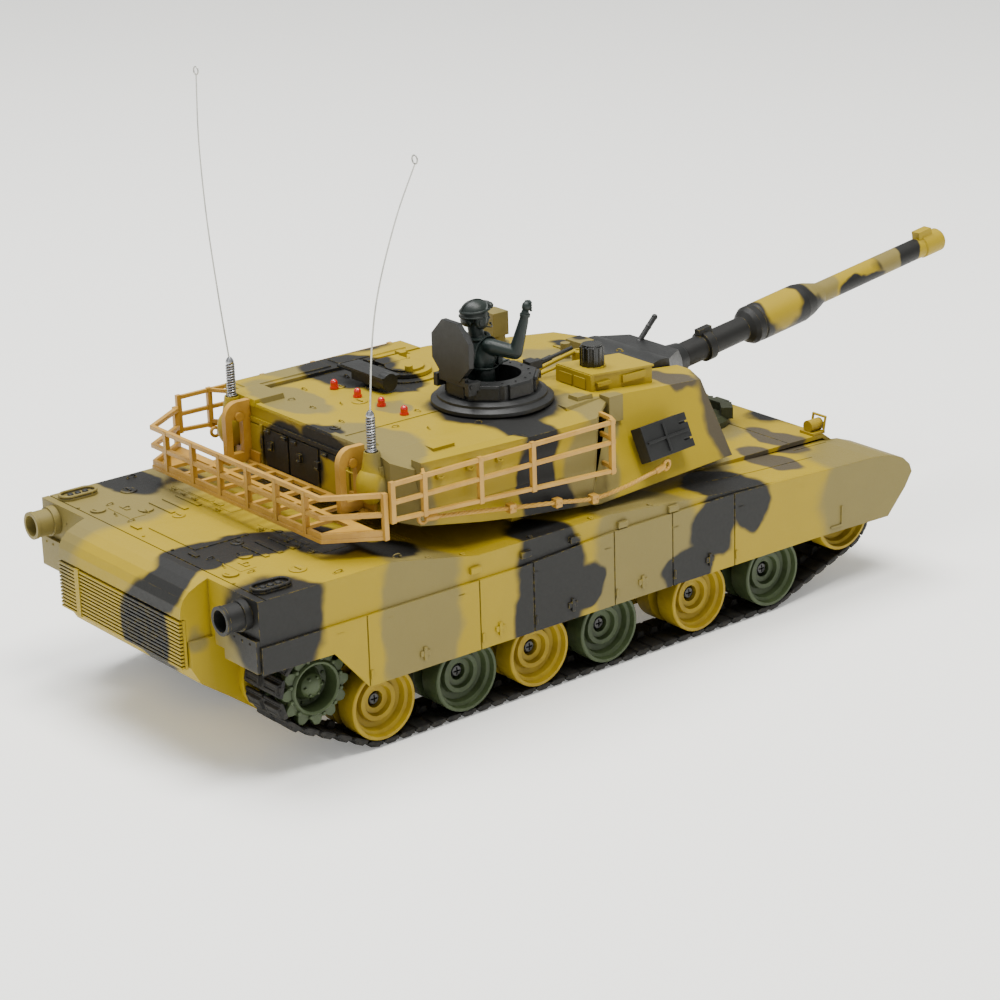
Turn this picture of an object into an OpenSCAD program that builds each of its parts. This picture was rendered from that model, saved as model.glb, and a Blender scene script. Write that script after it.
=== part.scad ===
// Radio-controlled battle tank, 1:24, millimetres.
// +Z is up, the tracks stand on Z = 0, the gun points along -Y and the tank's left side is +X.
// The origin is on the ground under the middle of the hull.

/* [Hull] */
// Half of the width over the side skirts
half_width = 76; // [75:0.5:78]
// Y of the rear edge of the engine deck
deck_rear_y = 164; // [162:0.5:166]
// Height of the raised engine deck
engine_deck_z = 73.3; // [72.5:0.1:74]
// Height of the deck round the turret
turret_deck_z = 65.6; // [65:0.1:65.8]
// Height of the front deck at its lip
front_deck_z = 58.4; // [58:0.1:59]
// Wall thickness of the hull and turret mouldings
wall = 1.8; // [1.6:0.1:2]
// Half of the width of the lower tub
tub_half = 44; // [43.5:0.1:44]
// Height of the underside of the tub
belly_z = 9; // [8.6:0.1:9.4]
// Height of the fender floor above the tracks
fender_z = 51.2; // [51:0.1:51.6]

/* [Running gear] */
// Outer radius of the road wheels
wheel_r = 14.3; // [14.2:0.1:14.4]
// Height of the road wheel centres
wheel_z = 17.4; // [17.3:0.1:17.5]
// Gap between a wheel and the belt
belt_gap = 0.3; // [0.25:0.05:0.35]
// X of the outer face of the wheels
wheel_face_x = 71.9; // [71.5:0.1:72.2]
// X of the inner face of the wheels
wheel_back_x = 49.2; // [49:0.1:49.6]
// Radius of the steel axles
axle_r = 1.5; // [1.4:0.1:1.6]
// Running clearance on an axle, on the radius
axle_play = 0.05; // [0.02:0.01:0.08]
// Height of the sprocket and idler centres
end_wheel_z = 31.6; // [31.4:0.1:31.8]
// Y of the rear sprocket centre
sprocket_y = 138; // [137.5:0.5:138.5]
// Y of the front idler centre
idler_y = -127.5; // [-128:0.5:-127]
// Radius of the sprocket teeth tips
sprocket_tip_r = 14.7; // [14.5:0.1:14.8]
// Number of sprocket teeth
sprocket_teeth = 12; // [12:1:12]
// Distance between track links
link_pitch = 7.4; // [7:0.1:8]
// Thickness of the belt without its cleats
belt_t = 1.7; // [1.6:0.1:1.8]
// Height of the cleats on the belt
cleat_h = 1.1; // [1.1:0.1:1.1]
// X of the inner edge of the tracks
track_in_x = 48.6; // [48.5:0.1:49]
// X of the outer edge of the tracks
track_out_x = 71.3; // [71:0.1:71.5]

/* [Turret] */
// Y of the turret's turning axis
ring_y = 5; // [4:0.5:6]
// Radius of the turret neck in the deck
ring_r = 40; // [39:0.5:41]
// Height of the underside of the turret front
turret_floor_z = 67.5; // [67.2:0.1:68]
// Height of the flat turret roof
roof_z = 104; // [103.5:0.1:104.5]
// Y of the rear face of the bustle
bustle_y = 90; // [89.5:0.5:90.5]

/* [Gun] */
// Y of the gun trunnion
trunnion_y = -72; // [-72.5:0.5:-71.5]
// Height of the gun trunnion
trunnion_z = 86.2; // [86:0.1:86.4]
// Elevation of the gun at rest, in degrees
gun_rest = 8.2; // [8:0.1:8.4]
// Distance from the trunnion to the muzzle
gun_length = 187.5; // [186:0.5:189]

/* [Cupola] */
// X of the commander's cupola centre
cupola_x = -26; // [-26.5:0.5:-25.5]
// Y of the commander's cupola centre
cupola_y = 19; // [18.5:0.5:19.5]
// X of the loader's hatch centre
loader_x = 27; // [26.5:0.5:27.5]
// Y of the loader's hatch centre
loader_y = 22; // [21.5:0.5:22.5]

/* [Hidden] */
$fn = 48;

SAND = [0.78, 0.68, 0.38];
KHAKI = [0.62, 0.58, 0.45];
OCHRE = [0.72, 0.58, 0.24];
GREEN = [0.27, 0.34, 0.28];
DARK = [0.25, 0.26, 0.27];
TAN = [0.80, 0.65, 0.45];
BLACK = [0.10, 0.10, 0.11];
STEEL = [0.72, 0.73, 0.75];
RED = [0.85, 0.12, 0.08];

// Y of the six road wheels, rear to front; the fourth and fifth stand further apart
wheel_y = [109.5, 70.8, 35.5, 0.4, -47, -87.1];
side_face_x = half_width - 1;
skirt_t = 1.6;
tub_in = tub_half - wall;
belly_in = belly_z + wall;
hub_x = 63.4;
bore_r = axle_r + axle_play;
shaft_y = sprocket_y;
gear_module = 1;
gear_teeth = 27;
pinion_teeth = 9;
motor_y = shaft_y - gear_module * (gear_teeth + pinion_teeth) / 2;
motor_r = 7.6;

// ---------------------------------------------------------------- helpers

// Box between two corners
module block(x0, x1, y0, y1, z0, z1) {
  translate([x0, y0, z0]) cube([x1 - x0, y1 - y0, z1 - z0]);
}

// (Y, Z) outline pushed along X
module side_plate(outline, x0, x1) {
  translate([x0, 0, 0]) rotate([90, 0, 90]) linear_extrude(x1 - x0) polygon(outline);
}

// (X, Z) outline pushed along Y
module cross_bar(outline, y0, y1) {
  translate([0, y1, 0]) rotate([90, 0, 0]) linear_extrude(y1 - y0) polygon(outline);
}

// (X, Y) outline pushed along Z
module plan_plate(outline, z0, z1) {
  translate([0, 0, z0]) linear_extrude(z1 - z0) polygon(outline);
}

// Cylinder along X
module pin_x(x0, x1, y, z, r) {
  translate([x0, y, z]) rotate([0, 90, 0]) cylinder(r = r, h = x1 - x0);
}

// Cylinder along Z
module pin_z(x, y, z0, z1, r) {
  translate([x, y, z0]) cylinder(r = r, h = z1 - z0);
}

// Round bar between two points
module bar(a, b, r) {
  d = b - a;
  translate(a) rotate([0, acos(d.z / norm(d)), atan2(d.y, d.x)]) cylinder(r = r, h = norm(d), $fn = 24);
}

// Round bar through a list of points, with a slightly proud ball at every end and corner
module bar_path(points, r) {
  for (p = points) translate(p) sphere(r = r * 1.1, $fn = 24);
  for (i = [0 : len(points) - 2]) bar(points[i], points[i + 1], r);
}

// (radius, X) outline turned about an axis along X
module turned_x(outline, y, z) {
  translate([0, y, z]) rotate([0, 90, 0]) rotate_extrude() polygon(outline);
}

// The same thing on both sides of the tank
module both_sides() {
  children();
  mirror([1, 0, 0]) children();
}

// ---------------------------------------------------------------- hull

// Top line of the hull, rear to front
deck_line = [
  [deck_rear_y, engine_deck_z], [105, engine_deck_z], [66, turret_deck_z], [0, turret_deck_z],
  [-34, 62.2], [-62, 59.6]
];
fender_line = [
  [-87, 57.8], [-121, 56.2], [-140, 55.6], [-150, 54.2], [-158, 51.3], [-162, 47.6],
  [-163.4, 44], [-159.5, 38], [-149.6, 27.4]
];
tub_outline = [
  [-150, 45.4], [-118, belly_z], [136, belly_z], [158, 25.5], [170, 34], [174, 41], [174, fender_z],
  [-147, fender_z], [-150, 48.4]
];
tub_hollow = [
  [-145.5, 43.5], [-117.2, belly_in], [135.3, belly_in], [157, 27.4], [168.6, 35.6], [172, 41.6],
  [172, fender_z + 1], [-145.5, fender_z + 1]
];
door_y0 = 2;
door_y1 = 72;
door_half = 21;
door_pin_y = door_y1 + 2.4;
door_pin_z = belly_z + 1.2;
switch_x = 30;
switch_y = -40;

module lower_hull() {
  color(OCHRE) difference() {
    union() {
      difference() {
        side_plate(tub_outline, -tub_half, tub_half);
        side_plate(tub_hollow, -tub_in, tub_in);
      }
      both_sides() for (y = wheel_y) pin_x(tub_in - 4, wheel_back_x - 0.5, y, wheel_z, 4);
      both_sides() pin_x(tub_in - 4, wheel_back_x - 0.5, idler_y, end_wheel_z, 5);
      both_sides() block(door_half + 0.6, door_half + 3, door_y1 - 1, door_y1 + 5, belly_z, belly_z + 4);
    }
    both_sides() for (y = wheel_y) pin_x(30, 60, y, wheel_z, axle_r);
    both_sides() pin_x(30, 60, idler_y, end_wheel_z, axle_r);
    both_sides() pin_x(30, 60, shaft_y, end_wheel_z, 4.2);
    block(-door_half - 0.3, door_half + 0.3, door_y0 - 0.3, door_y1 + 0.3, belly_z - 1, belly_in + 1);
    block(-door_half - 0.3, door_half + 0.3, door_y1, door_y1 + 4.4, belly_z - 1, belly_in + 1);
    pin_x(-door_half - 4, door_half + 4, door_pin_y, door_pin_z, 1.05);
    block(switch_x - 1.7, switch_x + 1.7, switch_y - 4.2, switch_y + 4.2, belly_z - 1, belly_in + 1);
  }
}

// Outer and inner side outlines of the upper hull, from the rear round the front
upper_outline = concat(deck_line, [[-141, front_deck_z], [-156.5, 47], [-153.5, 45.4], [-150.1, 45.4],
                       [-150.1, 48.5], [-147.1, fender_z], [deck_rear_y, fender_z]]);
upper_hollow = [
  [deck_rear_y - wall, engine_deck_z - wall], [105, engine_deck_z - wall],
  [66, turret_deck_z - wall], [0, turret_deck_z - wall], [-34, 60.4], [-62, 57.8],
  [-140.5, front_deck_z - wall], [-146, 52.4], [-146, fender_z - 1], [deck_rear_y - wall, fender_z - 1]
];
// Fender box with its turned-down front, as a (Y, Z) outline
fender_outline = concat(deck_line, fender_line, [[-147.6, 27.4], [-157.2, 38], [-161, 44],
  [-159.6, 46.9], [-156.4, 49.8], [-149, fender_z], [deck_rear_y, fender_z]]);
fender_hollow = [
  [deck_rear_y - wall, engine_deck_z - wall], [105, engine_deck_z - wall],
  [66, turret_deck_z - wall], [0, turret_deck_z - wall], [-34, 60.4], [-62, 57.8],
  [-121, 54.4], [-140, fender_z + 2.2], [-140, fender_z + wall], [deck_rear_y - wall, fender_z + wall]
];
// Centre block that carries the louvre
// Underside of the boss round the turret neck
ring_boss_z = 59.6;
block_half = 42.8;
block_outline = [
  [deck_rear_y - 2, engine_deck_z], [deck_rear_y, engine_deck_z], [168, 71.9], [172, 70],
  [174.6, 67.6], [176, 64.6], [176.6, 60.4], [174.4, 60], [174.4, fender_z], [deck_rear_y - 2, fender_z]
];
block_hollow = [
  [deck_rear_y - 4, engine_deck_z - wall], [168, 70], [172.4, 67], [173.2, 60], [172.6, fender_z - 1],
  [deck_rear_y - 4, fender_z - 1]
];

module upper_hull() {
  color(SAND) difference() {
    union() {
      difference() {
        side_plate(upper_outline, -46, 46);
        side_plate(upper_hollow, -47, 47);
      }
      both_sides() difference() {
        side_plate(fender_outline, 45, side_face_x);
        side_plate(fender_hollow, 44, side_face_x - wall);
      }
      difference() {
        side_plate(block_outline, -block_half, block_half);
        side_plate(block_hollow, -block_half + wall, block_half - wall);
      }
      pin_z(0, ring_y, ring_boss_z, turret_deck_z + 0.6, ring_r + 4);
      deck_fittings();
    }
    pin_z(0, ring_y, turret_deck_z - 10, turret_deck_z + 4, ring_r + 0.4);
    deck_grooves();
  }
}

// Raised hatches, caps and hinge blocks moulded into the deck
module deck_fittings() {
  z = engine_deck_z;
  for (p = [[46, 156], [-46, 156], [34, 142], [-34, 142]]) pin_z(p.x, p.y, z - 0.5, z + 0.7, 3);
  for (p = [[41, 147], [-41, 147], [20, 155], [-20, 155], [20, 118], [-20, 118]])
    block(p.x - 2.6, p.x + 2.6, p.y - 1, p.y + 1, z - 0.5, z + 0.6);
  both_sides() for (y = [118, 124, 130, 136])
    block(24, 40, y - 1, y + 1, z - 0.5, z + 0.5);
  block(-16, 16, 128, 152, z - 0.5, z + 0.4);
  both_sides() for (y = [68, 44, 20, -4, -30]) skirt_lug(y);
}

// Clip on the hull side above a skirt
module skirt_lug(y) {
  block(side_face_x - 0.5, half_width + 0.3, y - 2.4, y + 2.4, 59.2, 61.6);
}

// Shallow panel joints in the deck and the sides
module deck_grooves() {
  z = engine_deck_z;
  block(-side_face_x - 1, side_face_x + 1, 160.4, 160.9, z - 0.4, z + 1);
  block(-60, 60, -121.2, -120.6, front_deck_z + 0.1, front_deck_z + 4);
  both_sides() side_plate([[-62, 59.2], [-87, 57.4], [-121, 55.8], [-121, 60], [-62, 62]], 59.6, 60.1);
  both_sides() side_plate([[-121, 55.8], [-140, 55.2], [-140, 60], [-121, 60]], 48.4, 48.9);
}

louvre_z0 = 40.8;
louvre_z1 = 59.8;
louvre_slats = 13;

module rear_louvre() {
  pitch = (louvre_z1 - louvre_z0) / louvre_slats;
  color(SAND) {
    block(-block_half, block_half, 174.5, 175.6, louvre_z0, louvre_z1);
    for (i = [0 : louvre_slats - 1])
      block(-block_half + 0.4, block_half - 0.4, 175.6, 177, louvre_z0 + (i + 0.15) * pitch,
            louvre_z0 + (i + 0.72) * pitch);
    block(27.5, 30.5, 175.6, 177.3, louvre_z0, louvre_z1);
  }
}

pipe_x = 66.2;
pipe_z = 66.4;
pipe_y = deck_rear_y + 0.1;

module tail_pipes() {
  color(KHAKI) both_sides() translate([pipe_x, pipe_y, pipe_z]) rotate([-90, 0, 0]) difference() {
    union() {
      cylinder(r = 5.2, h = 10.4);
      cylinder(r = 5.8, h = 3);
      translate([0, 0, 9]) cylinder(r = 5.5, h = 1.4);
    }
    translate([0, 0, 2.5]) cylinder(r = 4.1, h = 9);
  }
}

module rear_mudflaps() {
  color(SAND) both_sides() difference() {
    union() {
      block(48.4, side_face_x, deck_rear_y + 0.1, deck_rear_y + 1.7, 46.2, 58.6);
      for (x = [51, 56, 61, 66, 71]) translate([x, deck_rear_y + 1.6, 56.6]) sphere(r = 0.55, $fn = 16);
    }
    block(48, 54, deck_rear_y - 1, deck_rear_y + 3, 45, 50);
  }
}

// Lower edge of a skirt, then its top edge back to the rear
skirt_outline = [
  [deck_rear_y, 45.6], [133, 45.2], [118.4, 28.2], [-110, 28.2], [-149.6, 27.4], [-159.5, 38],
  [-163.4, 44], [-162, 47.6], [-158, 51.3], [-150, 54.2], [-140, 55.6], [-121, 56.2], [-87, 57.8],
  [-62, 58.6], [0, 58.6], [48, 56], [deck_rear_y, 56]
];
skirt_joints = [118.2, 66.6, 40.8, 0.6, -29.4, -62.4];

module side_skirts() {
  color(SAND) both_sides() {
    difference() {
      side_plate(skirt_outline, side_face_x + 0.02, half_width);
      for (y = skirt_joints) block(half_width - 0.45, half_width + 1, y - 0.3, y + 0.3, 26, 62);
    }
    for (y = skirt_joints) block(half_width - 0.2, half_width + 0.5, y - 1.4, y - 0.4, 31, 34.5);
    block(half_width - 0.2, half_width + 0.5, -122.6, -121.8, 30.2, 38.8);
    block(half_width - 0.2, half_width + 0.5, -122.6, -116, 30.2, 31);
    difference() {
      side_plate(skirt_outline, track_out_x + 0.6, side_face_x + 0.1);
      side_plate([[200, 0], [-140, 0], [-162, 40], [-161, 41.7], [-166, 41.7], [-166, 90],
          [200, 90]], 60, 90);
    }
  }
}

driver_y = -112;

module driver_hatch() {
  color(GREEN) {
    translate([0, driver_y, 59.1]) cylinder(r = 13, h = 2.4);
    translate([0, driver_y, 61.5]) cylinder(r1 = 12.4, r2 = 10.6, h = 1.4);
    block(-6, 6, driver_y + 9, driver_y + 13.5, 60, 64.6);
    for (a = [-38, 0, 38]) translate([0, driver_y, 61.6]) rotate([0, 0, a])
      difference() {
        block(-4, 4, -14.4, -9.4, 0, 5);
        block(-3, 3, -15, -14, 1.4, 4.2);
      }
  }
}

headlight_x = 42;
headlight_y = -141;

module headlights() {
  color(OCHRE) both_sides() {
    difference() {
      union() {
        block(headlight_x - 4, headlight_x + 4, headlight_y - 1, headlight_y + 6, 58.55, 59.6);
        translate([headlight_x, headlight_y + 5.4, 61.8]) rotate([90, 0, 0]) cylinder(r = 2.6, h = 7);
      }
      translate([headlight_x, headlight_y - 0.8, 61.8]) rotate([90, 0, 0]) cylinder(r = 2, h = 3);
    }
    bar_path([[headlight_x - 3.6, headlight_y - 0.4, 59.3], [headlight_x - 3.6, headlight_y - 1.6, 65.4],
              [headlight_x + 3.6, headlight_y - 1.6, 65.4],
                  [headlight_x + 3.6, headlight_y - 0.4, 59.3]], 0.55);
  }
}

tail_light_x = 66.6;

module tail_lights() {
  top = engine_deck_z;
  color(KHAKI) both_sides() {
    block(tail_light_x - 4, tail_light_x + 4, 145.4, 160, top, top + 0.9);
    for (y = [149.4, 152.7, 156]) translate([tail_light_x, y, top + 0.8]) cylinder(r = 1.4, h = 1);
    for (x = [tail_light_x - 3.6, tail_light_x + 3.6], y = [148, 157.4])
        block(x - 0.4, x + 0.4, y - 0.4, y + 0.4, top, top + 1.8);
    difference() {
      plan_plate([[tail_light_x - 4.2, 147.6], [tail_light_x - 2, 144.9], [tail_light_x + 2, 144.9],
                  [tail_light_x + 4.2, 147.6], [tail_light_x + 4.2, 157.8], [tail_light_x + 2, 160.5],
                  [tail_light_x - 2, 160.5], [tail_light_x - 4.2, 157.8]], top + 1.2, top + 2.2);
      plan_plate([[tail_light_x - 3.1, 148], [tail_light_x - 1.6, 146], [tail_light_x + 1.6, 146],
                  [tail_light_x + 3.1, 148], [tail_light_x + 3.1, 157.4], [tail_light_x + 1.6, 159.4],
                  [tail_light_x - 1.6, 159.4], [tail_light_x - 3.1, 157.4]], top + 1, top + 3);
    }
  }
}

// ---------------------------------------------------------------- electrics

module battery_pack() {
  color([0.18, 0.32, 0.55]) for (i = [0 : 4])
    translate([-14 + 7 * (i % 2) * 4, 0, 0]) pin_cell(12 + 14.4 * i / 1.25);
  color(BLACK) block(-19.5, 19.5, 5, 70, 12.4, 13.4);
}

// One round cell lying along X
module pin_cell(y) {
  pin_x(-5, 5, y, 20.6, 7.1);
}

module battery_door() {
  color(OCHRE) {
    difference() {
      block(-door_half, door_half, door_y0, door_y1, belly_z, belly_in - 0.1);
      for (i = [0 : 5]) block(-14, 14, door_y0 + 8 + 3 * i, door_y0 + 9.4 + 3 * i, belly_z - 1,
          belly_z + 0.6);
    }
    block(-door_half, door_half, door_y1 - 1, door_pin_y, belly_z + 0.5, belly_in - 0.1);
    pin_x(-door_half - 2.8, door_half + 2.8, door_pin_y, door_pin_z, 1);
  }
}

module circuit_board() {
  color([0.10, 0.38, 0.20]) {
    block(-28, 28, -95, -20, 33, 34.6);
    both_sides() for (y = [-91, -24]) pin_z(24, y, belly_in, 33, 2.2);
  }
  color(BLACK) {
    block(-10, 6, -70, -54, 34.6, 36.4);
    block(12, 22, -84, -60, 34.6, 38);
    block(-24, -14, -46, -30, 34.6, 42);
    for (y = [-90, -80, -40]) pin_z(4, y, 34.6, 42, 3);
  }
}

box_x0 = 21.8;
box_x1 = 42;

module gearboxes() {
  color(BLACK) both_sides() difference() {
    block(box_x0, box_x1 - 0.1, motor_y - 9, shaft_y + 17, 15.2, 49.4);
    block(box_x0 + 1.5, box_x1 + 1, motor_y - 7.5, shaft_y + 15.4, 16.8, 47.8);
    side_plate([[130, 7], [162, 31.5], [162, 0], [130, 0]], box_x0 - 1, box_x1 + 1);
    block(tub_in - 4.2, tub_in + 1, motor_y - 10, wheel_y[0] + 4.2, 15, wheel_z + 4.4);
    pin_x(box_x0 - 1, box_x1, motor_y, end_wheel_z, 2.4);
    pin_x(box_x0 - 1, box_x1, shaft_y, end_wheel_z, 2.05);
  }
}

module drive_motors() {
  color(STEEL) both_sides() difference() {
    union() {
      pin_x(1, box_x0 - 0.05, motor_y, end_wheel_z, motor_r);
      pin_x(box_x0 - 0.1, box_x0 + 1.4, motor_y, end_wheel_z, 2.2);
    }
    pin_x(box_x0 - 14, box_x0 + 3, motor_y, end_wheel_z, 1.05);
  }
}

// Outline of a spur gear with straight-sided teeth
function gear_outline(teeth, m, turn) = let (r = teeth * m / 2, step = 360 / teeth) [
  for (i = [0 : teeth - 1], c = [[-0.28, -1.2], [-0.12, 0.75], [0.12, 0.75], [0.28, -1.2]])
    let (a = turn + step * (i + c[0]), q = r + c[1] * m) [q * cos(a), q * sin(a)]
];

// Spur gear between two X positions, teeth in the YZ plane
module spur_gear(teeth, x0, x1, y, turn) {
  translate([x0, y, end_wheel_z]) rotate([90, 0, 90])
    linear_extrude(x1 - x0) polygon(gear_outline(teeth, gear_module, turn));
}

module drive_gear(side) {
  color(STEEL) mirror([side < 0 ? 1 : 0, 0, 0]) {
    spur_gear(gear_teeth, 26, 31, shaft_y, 0);
    pin_x(box_x0 - 0.2, 60, shaft_y, end_wheel_z, 2);
  }
}
module drive_gear_left() drive_gear(1);
module drive_gear_right() drive_gear(-1);

module motor_pinion(side) {
  color([0.75, 0.62, 0.30]) mirror([side < 0 ? 1 : 0, 0, 0]) {
    spur_gear(pinion_teeth, 25, 32, motor_y, 0);
    pin_x(box_x0 - 13, 34, motor_y, end_wheel_z, 1);
  }
}
module motor_pinion_left() motor_pinion(1);
module motor_pinion_right() motor_pinion(-1);

module speaker() {
  color(BLACK) difference() {
    union() {
      pin_z(0, -103, belly_in, belly_in + 5, 13);
      pin_z(0, -103, belly_in + 5, belly_in + 10, 7);
    }
    translate([0, -103, belly_in - 0.01]) cylinder(r1 = 11, r2 = 4, h = 4);
  }
}

module power_switch() {
  color(BLACK) {
    block(switch_x - 1.5, switch_x + 1.5, switch_y - 2, switch_y + 2, belly_z - 1, belly_in + 1.5);
    block(switch_x - 3, switch_x + 3, switch_y - 7, switch_y + 7, belly_in + 0.1, belly_in + 1.5);
  }
}

// ---------------------------------------------------------------- running gear

module wheel_axles() {
  color(STEEL) both_sides() {
    for (y = wheel_y) stub_axle(y, wheel_z);
    stub_axle(idler_y, end_wheel_z);
  }
}

module stub_axle(y, z) {
  difference() {
    pin_x(tub_in - 3.5, hub_x - 0.1, y, z, axle_r);
    pin_x(hub_x - 9, hub_x + 1, y, z, 0.85);
  }
}

module wheel_screws() {
  color(BLACK) both_sides() {
    for (y = wheel_y) shoulder_screw(y, wheel_z);
    shoulder_screw(idler_y, end_wheel_z);
  }
}

module shoulder_screw(y, z) {
  difference() {
    union() {
      turned_x([[0, hub_x + 0.1], [2.8, hub_x + 0.1], [2.8, hub_x + 1], [2, hub_x + 2],
          [0, hub_x + 2.3]], y, z);
      pin_x(hub_x - 7, hub_x + 0.2, y, z, 0.8);
    }
    block(hub_x + 1.2, hub_x + 3, y - 1.5, y + 1.5, z - 0.3, z + 0.3);
    block(hub_x + 1.2, hub_x + 3, y - 0.3, y + 0.3, z - 1.5, z + 1.5);
  }
}

// Paired-disc wheel with a deep stepped dish, a gap for the guide horns and a raised hub
function wheel_outline(r) = [
  [bore_r, wheel_back_x], [r, wheel_back_x], [r, 57.2], [8, 57.8], [8, 62], [r, 62.6],
  [r, wheel_face_x - 0.4], [r - 0.4, wheel_face_x], [r - 1.4, wheel_face_x], [r - 1.8, wheel_face_x - 2.2],
  [r - 3, wheel_face_x - 2.8], [r - 3.6, wheel_face_x - 5.2], [8.4, wheel_face_x - 5.8],
  [7.8, wheel_face_x - 3.8], [6, wheel_face_x - 3.8], [5.4, wheel_face_x - 5.6],
  [3.3, wheel_face_x - 5.8], [3.3, hub_x], [bore_r, hub_x]
];

module road_wheel(side, index) {
  color(index % 2 == 0 ? OCHRE : GREEN) mirror([side < 0 ? 1 : 0, 0, 0])
    turned_x(wheel_outline(wheel_r), wheel_y[index], wheel_z);
}
module wheel_left_1() road_wheel(1, 0);
module wheel_left_2() road_wheel(1, 1);
module wheel_left_3() road_wheel(1, 2);
module wheel_left_4() road_wheel(1, 3);
module wheel_left_5() road_wheel(1, 4);
module wheel_left_6() road_wheel(1, 5);
module wheel_right_1() road_wheel(-1, 0);
module wheel_right_2() road_wheel(-1, 1);
module wheel_right_3() road_wheel(-1, 2);
module wheel_right_4() road_wheel(-1, 3);
module wheel_right_5() road_wheel(-1, 4);
module wheel_right_6() road_wheel(-1, 5);

module idler(side) {
  color(OCHRE) mirror([side < 0 ? 1 : 0, 0, 0]) turned_x(wheel_outline(wheel_r), idler_y, end_wheel_z);
}
module idler_left() idler(1);
module idler_right() idler(-1);

// Pointed sprocket teeth as an outline round the origin
function tooth_ring(root, tip) = [
  for (i = [0 : sprocket_teeth - 1], c = [[-0.34, 0], [-0.1, 1], [0.1, 1], [0.34, 0]])
    let (a = 360 / sprocket_teeth * (i + c[0]), q = root + (tip - root) * c[1]) [q * cos(a), q * sin(a)]
];

module sprocket(side) {
  color(GREEN) mirror([side < 0 ? 1 : 0, 0, 0]) difference() {
    union() {
      for (x = [50.4, 66.8]) translate([x, shaft_y, end_wheel_z]) rotate([90, 0, 90])
        linear_extrude(2.8) polygon(tooth_ring(12.4, sprocket_tip_r));
      turned_x([[0, wheel_back_x], [12, wheel_back_x], [12, 53], [9.6, 54], [9.6, 66], [12.4, 66.8],
                [12.4, 69.6], [11.4, 71], [10, 71], [9.4, 67.4], [5, 66.4], [4.4, 68.6], [2.2, 69.4],
                [0, 69.4]], shaft_y, end_wheel_z);
      for (a = [0 : 36 : 359]) pin_x(66.4, 68.2, shaft_y + 7.2 * cos(a), end_wheel_z + 7.2 * sin(a), 0.8);
    }
    pin_x(wheel_back_x - 1, 60.2, shaft_y, end_wheel_z, 2);
  }
}
module sprocket_left() sprocket(1);
module sprocket_right() sprocket(-1);

module final_drive_covers() {
  color(OCHRE) both_sides() difference() {
    union() {
      pin_x(tub_half + 0.02, tub_half + 3.4, shaft_y, end_wheel_z, 16.4);
      pin_x(tub_half - 1.6, tub_half + 0.1, shaft_y, end_wheel_z, 4.1);
      for (a = [20 : 40 : 359])
        pin_x(tub_half + 3, tub_half + 4, shaft_y + 14.4 * cos(a), end_wheel_z + 14.4 * sin(a), 0.9);
    }
    pin_x(tub_half - 3, tub_half + 6, shaft_y, end_wheel_z, 2.05);
  }
}

// The belt runs counter-clockwise in (Y, Z) round these circles: [Y, Z, radius of its inner face]
belt_r = wheel_r + belt_gap;
belt_circles = [
  [wheel_y[5], wheel_z, belt_r], [wheel_y[0], wheel_z, belt_r],
  [shaft_y, end_wheel_z, sprocket_tip_r + belt_gap], [idler_y, end_wheel_z, belt_r]
];
// Angle of the outward normal on the straight run from circle i to the next one
function run_normal(i) = let (a = belt_circles[i], b = belt_circles[(i + 1)
    % 4], d = [b.x - a.x, b.y - a.y])
  atan2(d.y, d.x) - acos((a.z - b.z) / norm(d));
function wrap_start(i) = run_normal((i + 3) % 4);
function wrap_sweep(i) = let (s = run_normal(i) - wrap_start(i)) s - 360 * floor(s / 360);
function touch_point(i, a) = [belt_circles[i].x, belt_circles[i].y] + belt_circles[i].z * [cos(a), sin(a)];
// Links as [Y, Z, normal angle], first round each circle and then along the run after it
belt_links = [
  for (i = [0 : 3])
    let (c = belt_circles[i], n = max(1, round(wrap_sweep(i) * PI / 180 * c.z / link_pitch)),
         p = touch_point(i, run_normal(i)), q = touch_point((i + 1) % 4, run_normal(i)),
         m = round(norm(q - p) / link_pitch))
      each concat(
        [for (k = [0 : n - 1]) let (a = wrap_start(i) + wrap_sweep(i) * (k + 0.5) / n)
          concat(touch_point(i, a), [a])],
        [for (k = [0 : m - 1]) concat(p + (q - p) * (k + 0.5) / m, [run_normal(i)])])
];
// Point of a link, s along the belt and h outwards from its inner face
function link_point(l, s, h) = [l.x, l.y] + h * [cos(l.z), sin(l.z)] + s * [-sin(l.z), cos(l.z)];
function belt_edge(corners) = [for (l = belt_links, c = corners) link_point(l, c[0], c[1])];

module track(side) {
  cleat = belt_t + cleat_h;
  outer = belt_edge([[-2.6, belt_t], [-2.2, cleat], [2.2, cleat], [2.6, belt_t]]);
  inner = belt_edge([[-2.2, 0], [2.2, 0]]);
  horned = belt_edge([[-2.2, 0], [-1.3, -2.6], [1.3, -2.6], [2.2, 0]]);
  color(BLACK) mirror([side < 0 ? 1 : 0, 0, 0]) {
    belt_strip(outer, inner, track_in_x, 59);
    belt_strip(outer, horned, 59, 61);
    belt_strip(outer, inner, 61, track_out_x);
  }
}
module track_left() track(1);
module track_right() track(-1);

// Closed belt between two X positions
module belt_strip(outer, inner, x0, x1) {
  translate([x0, 0, 0]) rotate([90, 0, 90]) linear_extrude(x1 - x0) difference() {
    polygon(outer);
    polygon(inner);
  }
}

// ---------------------------------------------------------------- turret

slot_half = 23.6;
slot_back_y = trunnion_y + 16.4;
bustle_z = 79.5;
// Side profile of the turret: underside, rear, roof and sloping front
function turret_side(t) = [
  [-91 + t * 1.3, turret_floor_z - (t > 0 ? 1 : 0)], [-79 + t, 97 - t], [-8, roof_z - t],
  [bustle_y - t, roof_z - t], [bustle_y - t, bustle_z + t], [40, 72 + t],
      [2, turret_floor_z + 0.5 - (t > 0 ? 1.6 : 0)]
];
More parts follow.
